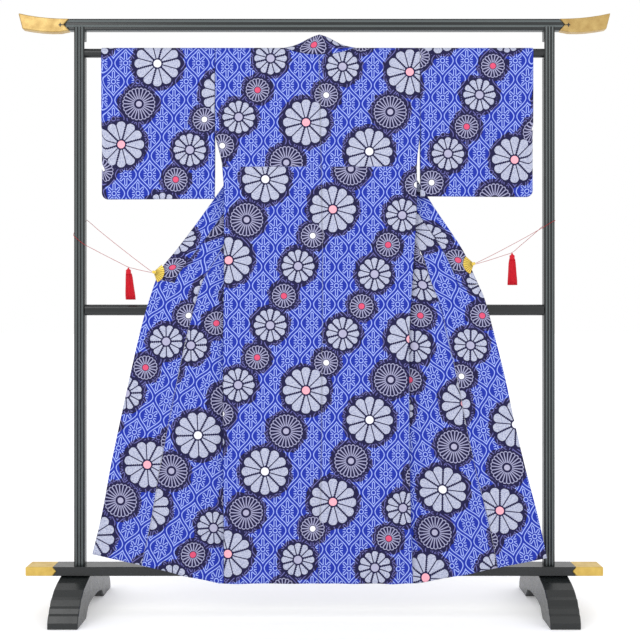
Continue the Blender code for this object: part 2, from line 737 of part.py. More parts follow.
FootPoint = namedtuple("FootPoint", "back height")
FOOT_PROFILE = [
    FootPoint(0.000, 0.000), FootPoint(0.001, 0.018), FootPoint(0.009, 0.036),
    FootPoint(0.016, 0.041), FootPoint(0.022, 0.054), FootPoint(0.030, 0.059),
    FootPoint(0.040, 0.074), FootPoint(0.052, 0.079), FootPoint(0.075, 0.094),
    FootPoint(0.108, 0.105), FootPoint(0.145, 0.1135), FootPoint(0.160, 0.1162),
]
ARCH_START = 0.104
ARCH_HEIGHT = 0.0365
ARCH_STEPS = 9


def make_feet(material):
    """Two arched feet that run front to back, with a stepped toe at each end."""
    front = [(-FOOT_HALF + point.back, point.height) for point in FOOT_PROFILE]
    rear = [(-y, z) for y, z in reversed(front)]
    half = FOOT_HALF - ARCH_START
    arch = []
    for t in np.linspace(1.0, -1.0, ARCH_STEPS):
        rise = ARCH_HEIGHT * (1 - abs(t) ** 3.2) ** 0.55
        arch.append((half * t, rise))
    outline = front + rear + arch
    for cloth in SIDES:
        centre = cloth.side * FOOT_X
        foot = prism("foot_" + cloth.name, outline, 0, centre - FOOT_WIDTH / 2,
                     centre + FOOT_WIDTH / 2, material)
        soften(foot, 0.002, 1)


Clip = namedtuple("Clip", "out height run turn")
CLIPS = {
    "left": Clip(0.5005, 1.0305, 0.865, 194.0),
    "right": Clip(0.4660, 1.0560, 0.897, 194.0),
}
FAN_SPREAD = 112.0
FAN_RIBS = 9
HUB_RADIUS = 0.0045
PLATE = 0.0012


def clip_frame(cloth):
    """Hub of a clip with its outward, upward and rearward directions.

    The rearward direction is square to the collar where the fan grips it.
    """
    clip = CLIPS[cloth.name]
    seam = collar_seam(cloth, clip.run)
    free = width_at(cloth, clip.run)
    inner, edge = row_points(cloth, clip.run, np.array([seam + 0.020, free]))
    lower = row_points(cloth, clip.run - 0.02, np.array([free - 0.01]))[0]
    upper = row_points(cloth, clip.run + 0.03, np.array([free - 0.01]))[0]
    normal = np.cross(edge - inner, upper - lower)
    normal = normal / np.linalg.norm(normal)
    if normal[1] < 0:
        normal = -normal
    outward = np.array([cloth.side, 0.0, 0.0])
    outward = outward - normal * (outward @ normal)
    outward = outward / np.linalg.norm(outward)
    upward = np.array([0.0, 0.0, 1.0])
    upward = upward - normal * (upward @ normal)
    upward = upward - outward * (upward @ outward)
    upward = upward / np.linalg.norm(upward)
    hub = np.array([ROBE_X + cloth.side * clip.out, edge[1], clip.height])
    hub = hub - normal * ((hub - edge) @ normal)
    return hub, outward, upward, normal


def fan_outline(turn, radius, ribbed):
    """Open fan seen from the back: a hub and an arc of ribs towards the cloth."""
    points = []
    for step in range(4):
        angle = math.radians(turn - FAN_SPREAD / 2 - 30 - 62 * step)
        points.append((HUB_RADIUS * math.cos(angle), HUB_RADIUS * math.sin(angle)))
    count = FAN_RIBS * 2
    for step in range(count + 1):
        angle = math.radians(turn + FAN_SPREAD / 2 - FAN_SPREAD * step / count)
        reach = radius - (0.0012 if ribbed and step % 2 else 0.0)
        points.append((reach * math.cos(angle), reach * math.sin(angle)))
    return points


def plate(name, outline, frame, near, far, material):
    """Outline in a tilted frame, carried between two depths along its normal."""
    hub, outward, upward, normal = frame
    mesh = bpy.data.meshes.new(name)
    shape = bmesh.new()
    ends = []
    for level in (near, far):
        ends.append([shape.verts.new(hub + outward * a + upward * b + normal * level)
                     for a, b in outline])
    shape.faces.new(ends[0][::-1])
    shape.faces.new(ends[1])
    for i in range(len(outline)):
        j = (i + 1) % len(outline)
        shape.faces.new([ends[0][i], ends[0][j], ends[1][j], ends[1][i]])
    bmesh.ops.recalc_face_normals(shape, faces=shape.faces)
    shape.to_mesh(mesh)
    shape.free()
    return add_object(name, mesh, material)


def make_clips(material):
    """Fan clips: a ribbed fan outside, a plain jaw inside, joined at the hub."""
    clear = BAND_WALL / 2 + 0.0008
    for cloth in SIDES:
        clip = CLIPS[cloth.name]
        frame = clip_frame(cloth)
        fan = plate("fan_" + cloth.name, fan_outline(clip.turn, CLIP_RADIUS, True), frame,
                    -clear - PLATE, -clear, material)
        jaw = plate("jaw_" + cloth.name, fan_outline(clip.turn, CLIP_RADIUS * 0.8, False),
                    frame, clear, clear + PLATE, material)
        knob = [(0.0030 * math.cos(math.radians(a)), 0.0030 * math.sin(math.radians(a)))
                for a in range(0, 360, 45)]
        bridge = plate("bridge_" + cloth.name, knob, frame, -clear - PLATE * 0.6,
                       clear + PLATE * 0.6, material)
        unite("fan_clip_" + cloth.name, [fan, jaw, bridge], material)


def unite(name, pieces, material):
    """Join overlapping pieces into one closed body under one name."""
    base = pieces[0]
    for other in pieces[1:]:
        union = base.modifiers.new("union", "BOOLEAN")
        union.operation = "UNION"
        union.solver = "EXACT"
        union.object = other
    bpy.context.view_layer.update()
    graph = bpy.context.evaluated_depsgraph_get()
    mesh = bpy.data.meshes.new_from_object(base.evaluated_get(graph))
    mesh.name = name
    for piece in pieces:
        bpy.data.objects.remove(piece, do_unlink=True)
    return add_object(name, mesh, material)


Loop = namedtuple("Loop", "rear middle front front_tassel")
LOOPS = {
    "left": Loop(1.1925, 1.1535, 1.1160, True),
    "right": Loop(1.1730, 1.1890, 1.1700, False),
}
TASSEL_SPOTS = {"left": (0.5765, 1.0430), "right": (0.5810, 1.0870)}
CORNER_STEPS = 3
CORD_CLEAR = 0.0014


def tassel_top(cloth):
    """Where the tassel hangs on one strand of the cord."""
    out, height = TASSEL_SPOTS[cloth.name]
    return np.array([ROBE_X + cloth.side * out, POST_Y - 0.0215, height])


def post_wrap(cloth):
    """Cord round three sides of the post: inner rear, outer rear, outer front, inner front."""
    loop = LOOPS[cloth.name]
    radius = 0.006 + CORD_CLEAR
    half_x = POST_WIDTH / 2 - 0.006
    half_y = POST_DEPTH / 2 - 0.006
    corners = [(-1, 1, 110, -20), (1, 1, 90, -90), (1, -1, 0, -90), (-1, -1, -90, -20)]
    flat = []
    for across, along, start, sweep in corners:
        for step in range(CORNER_STEPS + 1):
            angle = math.radians(start + sweep * step / CORNER_STEPS)
            flat.append((POST_X + across * half_x + radius * math.cos(angle),
                         POST_Y + along * half_y + radius * math.sin(angle)))
    flat = np.array(flat)
    run = np.concatenate([[0.0], np.cumsum(np.linalg.norm(np.diff(flat, axis=0), axis=1))])
    share = run / run[-1]
    height = (loop.rear * (1 - share) * (1 - 2 * share) + loop.front * share * (2 * share - 1)
              + 4 * loop.middle * share * (1 - share))
    return list(np.stack([cloth.side * flat[:, 0], flat[:, 1], height], axis=1))


def stretch(start, end, count, sag):
    """Inner points of a free stretch of cord, which sags a little at its middle."""
    shares = np.linspace(0.0, 1.0, count + 2)[1:-1]
    drop = np.array([0.0, 0.0, -4 * sag])
    return [start + (end - start) * share + drop * share * (1 - share) for share in shares]


def smooth_route(points):
    """Points read from a smooth curve through the route's own points."""
    points = np.array(points, float)
    padded = np.vstack([2 * points[0] - points[1], points, 2 * points[-1] - points[-2]])
    lengths = np.sqrt(np.linalg.norm(np.diff(padded, axis=0), axis=1))
    curve = []
    for i in range(len(points) - 1):
        p0, p1, p2, p3 = padded[i:i + 4]
        d0, d1, d2 = lengths[i:i + 3]
        leave = (p1 - p0) / d0 - (p2 - p0) / (d0 + d1) + (p2 - p1) / d1
        reach = (p2 - p1) / d1 - (p3 - p1) / (d1 + d2) + (p3 - p2) / d2
        for t in (0.0, 0.5):
            curve.append((2 * t ** 3 - 3 * t ** 2 + 1) * p1 + (t ** 3 - 2 * t ** 2 + t) * leave * d1
                         + (3 * t ** 2 - 2 * t ** 3) * p2 + (t ** 3 - t ** 2) * reach * d1)
    curve.append(points[-1])
    return curve


def cord_route(cloth):
    """Loop of cord: clip, round the post, past the tassel, back to the clip."""
    hub, outward, upward, _ = clip_frame(cloth)
    root = hub + outward * (HUB_RADIUS + 0.0012)
    upper = root + upward * 0.0013
    lower = root - upward * 0.0013
    wrap = post_wrap(cloth)
    if not LOOPS[cloth.name].front_tassel:
        wrap = wrap[::-1]
    tassel = tassel_top(cloth) + np.array([0.0, 0.0, 0.0027])
    return [upper, *stretch(upper, wrap[0], 4, 0.0025), *wrap,
            *stretch(wrap[-1], tassel, 3, 0.0010), tassel,
            *stretch(tassel, lower, 3, 0.0010), lower]


def make_cords(material):
    """Thin cord loops as round tubes with filled ends."""
    for cloth in SIDES:
        route = smooth_route(cord_route(cloth))
        data = bpy.data.curves.new("cord_" + cloth.name, "CURVE")
        data.dimensions = "3D"
        data.bevel_depth = CORD_DIAMETER / 2
        data.bevel_resolution = 2
        data.use_fill_caps = True
        spline = data.splines.new("POLY")
        spline.points.add(len(route) - 1)
        for point, spot in zip(spline.points, route):
            point.co = (*(float(value) for value in spot), 1.0)
        cord = bpy.data.objects.new("cord_" + cloth.name, data)
        data.materials.append(material)
        bpy.data.collections["yukata_on_stand"].objects.link(cord)


def make_tassels(material):
    """Tassels: a round head and a skirt of strands whose roots run into it."""
    for cloth in SIDES:
        top = tassel_top(cloth)
        head = tassel_head(cloth, top, material)
        strands = tassel_strands(cloth, top, material)
        unite("tassel_" + cloth.name, [head, strands], material)


def tassel_head(cloth, top, material):
    """Turned head: loop knot above, ball, and a bound waist."""
    profile = [(0.0001, 0.0010), (0.0022, 0.0006), (0.0026, -0.0025), (0.0058, -0.0045),
               (0.0080, -0.0080), (0.0072, -0.0120), (0.0082, -0.0135), (0.0084, -0.0190),
               (0.0001, -0.0210)]
    mesh = bpy.data.meshes.new("tassel_head_" + cloth.name)
    shape = bmesh.new()
    sides = 12
    rings = []
    for radius, drop in profile[1:-1]:
        ring = []
        for k in range(sides):
            angle = 2 * math.pi * k / sides
            ring.append(shape.verts.new((top[0] + radius * math.cos(angle),
                                         top[1] + radius * math.sin(angle), top[2] + drop)))
        rings.append(ring)
    crown = shape.verts.new((top[0], top[1], top[2] + profile[0][1]))
    base = shape.verts.new((top[0], top[1], top[2] + profile[-1][1]))
    for k in range(sides):
        j = (k + 1) % sides
        shape.faces.new([crown, rings[0][k], rings[0][j]])
        shape.faces.new([base, rings[-1][j], rings[-1][k]])
        for upper, lower in zip(rings[:-1], rings[1:]):
            shape.faces.new([upper[k], lower[k], lower[j], upper[j]])
    bmesh.ops.recalc_face_normals(shape, faces=shape.faces)
    shape.to_mesh(mesh)
    shape.free()
    return add_object("tassel_head_" + cloth.name, mesh, material)


def tassel_strands(cloth, top, material):
    """Strands in rings, three-sided, fanning out a little to their ends."""
    mesh = bpy.data.meshes.new("tassel_strands_" + cloth.name)
    shape = bmesh.new()
    golden = math.pi * (3 - math.sqrt(5))
    for index in range(TASSEL_STRANDS):
        share = math.sqrt((index + 0.5) / TASSEL_STRANDS)
        angle = golden * index
        rings = []
        for drop, spread, radius in ((0.016, 0.0064, 0.00065), (0.050, 0.0104, 0.0011),
                                     (TASSEL_LENGTH, 0.0126, 0.0012)):
            lean = TASSEL_LEAN[cloth.name] * (drop / TASSEL_LENGTH)
            x = top[0] + lean + spread * share * math.cos(angle)
            y = top[1] + spread * share * math.sin(angle) * 0.75
            ring = []
            for k in range(3):
                turn = angle + 2 * math.pi * k / 3
                ring.append(shape.verts.new((x + radius * math.cos(turn),
                                             y + radius * math.sin(turn), top[2] - drop)))
            rings.append(ring)
        shape.faces.new(rings[0])
        shape.faces.new(rings[-1][::-1])
        for upper, lower in zip(rings[:-1], rings[1:]):
            for k in range(3):
                j = (k + 1) % 3
                shape.faces.new([upper[k], lower[k], lower[j], upper[j]])
    bmesh.ops.recalc_face_normals(shape, faces=shape.faces)
    shape.to_mesh(mesh)
    shape.free()
    return add_object("tassel_strands_" + cloth.name, mesh, material)


def main():
    """Build the stand, the robe on it, and what holds the fronts open."""
    clear_scene()
    for name in ("yukata_on_stand", "cutters"):
        collection = bpy.data.collections.new(name)
        bpy.context.scene.collection.children.link(collection)
    materials = {name: make_material(name) for name in FINISHES}
    cotton = materials["cotton"]
    for cloth in SIDES:
        make_body(cloth, cotton)
        make_okumi(cloth, cotton)
        make_sleeve(cloth, cotton)
    make_collar(cotton)
    make_posts(materials["lacquer"])
    make_beam(materials["lacquer"], materials["gilt"])
    make_board(materials["lacquer"], materials["gilt"])
    make_rails(materials["lacquer"])
    make_feet(materials["lacquer"])
    make_clips(materials["gilt"])
    make_cords(materials["red_silk"])
    make_tassels(materials["red_silk"])


main()
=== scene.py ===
"""Looks of a cotton yukata robe shown from the back on a lacquered stand.

Metres in the part's own frame, +Z up. The robe's back faces -Y, and robe points
are given as a distance out from its centre line, a depth from the plane of the
posts and a height.
"""
import json
import logging
import math
from dataclasses import dataclass
from enum import Enum
from typing import Callable, Dict, List, Optional, Sequence, Tuple

import bmesh
import bpy
import numpy as np
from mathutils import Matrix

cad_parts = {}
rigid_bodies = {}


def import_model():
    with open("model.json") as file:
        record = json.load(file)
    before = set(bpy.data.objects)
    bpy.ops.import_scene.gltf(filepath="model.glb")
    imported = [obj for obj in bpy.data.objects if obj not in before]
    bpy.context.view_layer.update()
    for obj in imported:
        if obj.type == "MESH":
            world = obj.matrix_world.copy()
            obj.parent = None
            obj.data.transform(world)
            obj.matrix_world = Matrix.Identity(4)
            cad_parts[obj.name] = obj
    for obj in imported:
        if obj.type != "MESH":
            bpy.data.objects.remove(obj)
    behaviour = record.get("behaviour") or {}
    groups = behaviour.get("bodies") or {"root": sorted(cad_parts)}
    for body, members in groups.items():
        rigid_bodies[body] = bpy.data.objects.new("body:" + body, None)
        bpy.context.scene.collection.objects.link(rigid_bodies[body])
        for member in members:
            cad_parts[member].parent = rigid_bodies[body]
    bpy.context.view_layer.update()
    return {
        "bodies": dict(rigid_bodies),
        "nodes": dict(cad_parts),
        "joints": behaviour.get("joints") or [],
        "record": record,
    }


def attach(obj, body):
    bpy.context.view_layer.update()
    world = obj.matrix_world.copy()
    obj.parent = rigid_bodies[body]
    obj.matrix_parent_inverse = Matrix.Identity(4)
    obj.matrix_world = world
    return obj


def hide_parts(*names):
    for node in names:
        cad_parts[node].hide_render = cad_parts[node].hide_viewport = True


LOG = logging.getLogger("yukata")
Array, Object, Material = np.ndarray, bpy.types.Object, bpy.types.Material
Colour, Pair = Tuple[int, int, int], Tuple[float, float]
Parts = Tuple["Value", "Value", "Value"]
Polar = Tuple["Value", "Value", "Value", "Value"]

# Stand: depth and half spacing of the posts, height of the hanging rod.
POST_Y = -0.0465
POST_X = 0.711
ROD_Z = 1.6965
# Robe: its centre line, the radius of the cloth's bend over the rod, and the hem.
ROBE_X = 0.0155
DRAPE = 0.0155
HEM_Z = 0.100
# The back's upper rows reach this far down from the shoulder line.
SHOULDER_RUN = 0.060
NECK_HALF = 0.1075
NECK_DROP = 0.0315
# Collar band, and how high above the hem it ends.
BAND = 0.055
BAND_GAP = 0.0003
COLLAR_END = 0.845
# Overlap panel, and how high above the hem it runs out.
OKUMI_WIDTH = 0.150
OKUMI_TOP = 1.385
# Wall of one layer of cloth, and the gap between two panels at a seam.
CLOTH = 0.0009
SEAM_GAP = 0.0002
# The waist tuck, and the length of print that it hides.
TUCK_Z = 1.3488
TUCK_HIDES = 0.070
# The least that a front is folded in behind the back panel.
LEAST_LAP = 0.014
# The print on a front is measured from this far inside its opening edge.
PRINT_ORIGIN = 0.42
METAL = 0.6


class Side(Enum):
    """The two halves of the robe, named as they are seen."""

    LEFT = -1
    RIGHT = 1

    @property
    def word(self) -> str:
        """Lower-case name, as in the names of the pieces."""
        return self.name.lower()


def monotone(at: Array, knots: Sequence[float], values: Sequence[float]) -> Array:
    """Monotone cubic through the knots, with slopes limited so it never overshoots.

    Args:
        at: where the curve is read, of any shape.
        knots: rising places of the known values.
        values: the known values.
    Returns:
        The curve's values, in the shape of at.
    """
    knots = np.asarray(knots, float)
    values = np.asarray(values, float)
    steps = np.diff(knots)
    slopes = np.diff(values) / steps
    tangents = np.zeros(len(knots))
    together = np.maximum(np.abs(slopes[:-1] + slopes[1:]), 1e-12)
    product = slopes[:-1] * slopes[1:]
    tangents[1:-1] = np.where(product > 0, 2 * product / together * np.sign(slopes[1:]), 0.0)
    tangents[0], tangents[-1] = slopes[0], slopes[-1]
    at = np.clip(np.asarray(at, float), knots[0], knots[-1])
    cell = np.clip(np.searchsorted(knots, at) - 1, 0, len(steps) - 1)
    t = (at - knots[cell]) / steps[cell]
    low = values[cell] * (1 + 2 * t) * (1 - t) ** 2 + values[cell + 1] * t * t * (3 - 2 * t)
    return low + steps[cell] * t * (1 - t) * (tangents[cell] * (1 - t) - tangents[cell + 1] * t)


def ease(t: Array) -> Array:
    """Smooth step from 0 to 1: 3t squared minus 2t cubed."""
    t = np.clip(t, 0.0, 1.0)
    return t * t * (3 - 2 * t)


def unit(vector: Array) -> Array:
    """The vector at length 1."""
    return vector / np.linalg.norm(vector)


def run_along(points: Array) -> Array:
    """Distance along a row of points, from 0."""
    return np.concatenate([[0.0], np.cumsum(np.linalg.norm(np.diff(points, axis=0), axis=1))])


def linear(red: int, green: int, blue: int) -> Tuple[float, float, float, float]:
    """Linear colour of an 8-bit display colour."""
    share = np.array([red, green, blue]) / 255.0
    value = np.where(share <= 0.04045, share / 12.92, ((share + 0.055) / 1.055) ** 2.4)
    return (*(float(x) for x in value), 1.0)


def linked(name: str, data: bpy.types.ID) -> Object:
    """A new object with this data, linked to the scene."""
    piece = bpy.data.objects.new(name, data)
    bpy.context.scene.collection.objects.link(piece)
    return piece


def tie(piece: Object, node: str = "") -> None:
    """Fix a piece to the root, and in place of a CAD node if one is named."""
    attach(piece, "root")
    if node:
        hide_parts(node)


def sheet_mesh(name: str, grids: Sequence[Array], prints: Sequence[Array],
               materials: Sequence[Material], wall: float = CLOTH,
               smooth: bool = True) -> Object:
    """A thin cloth wall on grids of points, thickened by Solidify.

    Args:
        name: the object's name.
        grids: arrays (rows, columns, 3) of points; the surface joins neighbours.
        prints: arrays (rows, columns, 3): place across and along the cloth, and
            distance from the nearest sewn edge.
        materials: its materials, the first of which every face wears.
        wall: thickness of the wall.
        smooth: whether its faces are shaded smooth.
    Returns:
        The new object.
    """
    faces, start = [], 0
    for grid in grids:
        rows, cols = grid.shape[:2]
        number = np.arange(rows * cols).reshape(rows, cols) + start
        faces.append(np.stack([number[:-1, :-1], number[:-1, 1:], number[1:, 1:],
                               number[1:, :-1]], -1).reshape(-1, 4))
        start += rows * cols
    points, places = (np.vstack([part.reshape(-1, 3) for part in parts])
                      for parts in (grids, prints))
    mesh = bpy.data.meshes.new(name)
    mesh.from_pydata(points.tolist(), [], np.vstack(faces).tolist())
    attribute = mesh.attributes.new("cloth_place", "FLOAT_VECTOR", "POINT")
    attribute.data.foreach_set("vector", places.astype(np.float32).ravel())
    mesh.polygons.foreach_set("use_smooth", np.full(len(mesh.polygons), smooth))
    for material in materials:
        mesh.materials.append(material)
    piece = linked(name, mesh)
    solid = piece.modifiers.new("wall", "SOLIDIFY")
    solid.thickness = wall
    solid.offset = 0.0
    return piece


def solid_mesh(name: str, points: Array, faces: Sequence[Sequence[int]],
               material: Material, smooth: bool = True) -> Object:
    """An object from points and faces, with its normals turned outwards."""
    mesh = bpy.data.meshes.new(name)
    mesh.from_pydata(points.tolist(), [], faces)
    shape = bmesh.new()
    shape.from_mesh(mesh)
    bmesh.ops.remove_doubles(shape, verts=shape.verts, dist=1e-7)
    bmesh.ops.recalc_face_normals(shape, faces=shape.faces)
    shape.to_mesh(mesh)
    shape.free()
    mesh.polygons.foreach_set("use_smooth", np.full(len(mesh.polygons), smooth))
    mesh.materials.append(material)
    return linked(name, mesh)


def turned(centres: Array, radii: Array, sides: int, first: Sequence[float] = (1, 0, 0),
           second: Sequence[float] = (0, 1, 0)) -> Tuple[Array, List[List[int]]]:
    """Rings about a row of centres, joined into one closed skin.

    Args:
        centres: (rings, 3) centres.
        radii: radius of each ring.
        sides: points round each ring.
        first: direction of a ring's first point from its centre.
        second: direction of the point a quarter turn on.
    Returns:
        Points and faces, closed at both ends.
    """
    angle = 2 * np.pi * np.arange(sides)[:, None] / sides
    ring = np.cos(angle) * np.asarray(first) + np.sin(angle) * np.asarray(second)
    points = centres[:, None, :] + radii[:, None, None] * ring[None]
    count = len(radii)
    faces = [[i * sides + k, (i + 1) * sides + k, (i + 1) * sides + (k + 1) % sides,
              i * sides + (k + 1) % sides] for i in range(count - 1) for k in range(sides)]
    faces += [list(range(sides)), [(count - 1) * sides + k for k in range(sides)][::-1]]
    return points.reshape(-1, 3), faces


def operator(operation: str) -> Callable[..., "Value"]:
    """A method of Value that adds one Math node of this operation."""
    def method(value: "Value", *others: object) -> "Value":
        """Add the node and return its output."""
        return value.graph.node("ShaderNodeMath", {"operation": operation},
                                dict(enumerate((value, *others))))
    return method


class Value:
    """A number on its way through a material, with the operators that are used."""

    def __init__(self, graph: "Graph", socket: bpy.types.NodeSocket) -> None:
        """Keep the graph and the output socket."""
        self.graph = graph
        self.socket = socket

    __add__ = __radd__ = operator("ADD")
    __mul__ = __rmul__ = operator("MULTIPLY")
    __sub__, __truediv__ = operator("SUBTRACT"), operator("DIVIDE")
    __pow__, __abs__ = operator("POWER"), operator("ABSOLUTE")
    sin, cos, root = operator("SINE"), operator("COSINE"), operator("SQRT")
    floor, fraction = operator("FLOOR"), operator("FRACT")
    under, over = operator("LESS_THAN"), operator("GREATER_THAN")
    least, most = operator("MINIMUM"), operator("MAXIMUM")
    angle_from = operator("ARCTAN2")

    def __rsub__(self, other: float) -> "Value":
        """Difference from a plain number."""
        return self.graph.node("ShaderNodeMath", {"operation": "SUBTRACT"}, {0: other, 1: self})


class Graph:
    """The nodes of one material, made through one method."""

    def __init__(self, name: str) -> None:
        """Start a material whose only nodes are its shader and output."""
        self.material = bpy.data.materials.new(name)
        self.material.use_nodes = True
        self.tree = self.material.node_tree
        self.shader = self.tree.nodes["Principled BSDF"]

    def node(self, kind: str, settings: Optional[Dict[str, object]] = None,
             inputs: Optional[Dict[object, object]] = None, output: object = 0) -> Value:
        """Add one node.

        Args:
            kind: the node's type.
            settings: its settings, set first; "stops" holds a stepped ramp's stops.
            inputs: values or links of its sockets, by number or name.
            output: number or name of the output that is returned.
        Returns:
            The output as a Value.
        """
        made = self.tree.nodes.new(kind)
        settings = dict(settings or {})
        stops = settings.pop("stops", ())
        for key, value in settings.items():
            setattr(made, key, value)
        if stops:
            ramp = made.color_ramp
            ramp.interpolation = "CONSTANT"
            ramp.elements.remove(ramp.elements[-1])
            ramp.elements[0].position, ramp.elements[0].color = stops[0]
            for place, colour in stops[1:]:
                ramp.elements.new(place).color = colour
        for key, value in (inputs or {}).items():
            self.feed(made.inputs[key], value)
        return Value(self, made.outputs[output])

    def feed(self, socket: bpy.types.NodeSocket, value: object) -> None:
        """Set a socket to a plain value, or link it."""
        if isinstance(value, Value):
            self.tree.links.new(value.socket, socket)
        else:
            socket.default_value = value

    def shade(self, **inputs: object) -> None:
        """Feed the shader's sockets, named with _ for a space."""
        for key, value in inputs.items():
            self.feed(self.shader.inputs[key.replace("_", " ")], value)

    def mix(self, share: object, first: object, second: object, blend: str = "MIX") -> Value:
        """Mix of two colours, each a Value or an 8-bit display colour."""
        first, second = (linear(*tone) if isinstance(tone, tuple) else tone
                         for tone in (first, second))
        return self.node("ShaderNodeMix", {"data_type": "RGBA", "blend_type": blend},
                         {0: share, 6: first, 7: second}, 2)

    def place(self) -> Parts:
        """Object coordinates as three numbers."""
        return self.apart(self.node("ShaderNodeTexCoord", output="Object"))

    def cloth(self) -> Parts:
        """The mesh's own place across, along and from the nearest sewn edge."""
        return self.apart(self.node("ShaderNodeAttribute", {"attribute_name": "cloth_place"},
                                    output="Vector"))

    def apart(self, vector: Value) -> Parts:
        """Parts of a vector as three numbers."""
        made = self.node("ShaderNodeSeparateXYZ", inputs={0: vector}).socket.node
        return tuple(Value(self, made.outputs[index]) for index in range(3))

    def together(self, x: object, y: object, z: object = 0.0) -> Value:
        """A vector from three numbers."""
        return self.node("ShaderNodeCombineXYZ", inputs={0: x, 1: y, 2: z})

    def noise(self, vector: Optional[Value], scale: float, detail: float) -> Value:
        """Soft noise from 0 to 1, on Object coordinates where no vector is given."""
        vector = vector or self.node("ShaderNodeTexCoord", output="Object")
        return self.node("ShaderNodeTexNoise",
                         inputs={"Scale": scale, "Detail": detail, "Vector": vector})

    def bump(self, height: Value, distance: float, strength: float) -> None:
        """Relief from a height, fed to the shader's normal."""
        made = self.node("ShaderNodeBump", inputs={"Strength": strength, "Distance": distance,
                                                   "Height": height})
        self.shade(Normal=made)


@dataclass(frozen=True)
class Motif:
    """A charted motif of the print: its place along and across its chain."""

    along: float
    across: float
    radius: float
    heart: Colour


PINK, WHITE, GREY, RED = (248, 176, 190), (240, 240, 246), (176, 174, 200), (222, 84, 118)
BLOSSOMS = (
    Motif(0.0000, 0.0000, 0.0690, PINK),
    Motif(0.2711, 0.0048, 0.0690, WHITE),
    Motif(0.5385, 0.0220, 0.0690, PINK),
    Motif(0.7389, 0.0097, 0.0490, GREY),
    Motif(0.9349, 0.0190, 0.0490, GREY),
    Motif(1.1376, 0.0180, 0.0490, GREY),
)
WHEELS = (
    Motif(0.1355, 0.0045, 0.0500, GREY),
    Motif(0.4054, 0.0126, 0.0500, GREY),
    Motif(0.6373, 0.0058, 0.0360, WHITE),
    Motif(0.8379, 0.0139, 0.0360, RED),
    Motif(1.0385, 0.0296, 0.0360, RED),
    Motif(1.2376, 0.0150, 0.0360, WHITE),
)


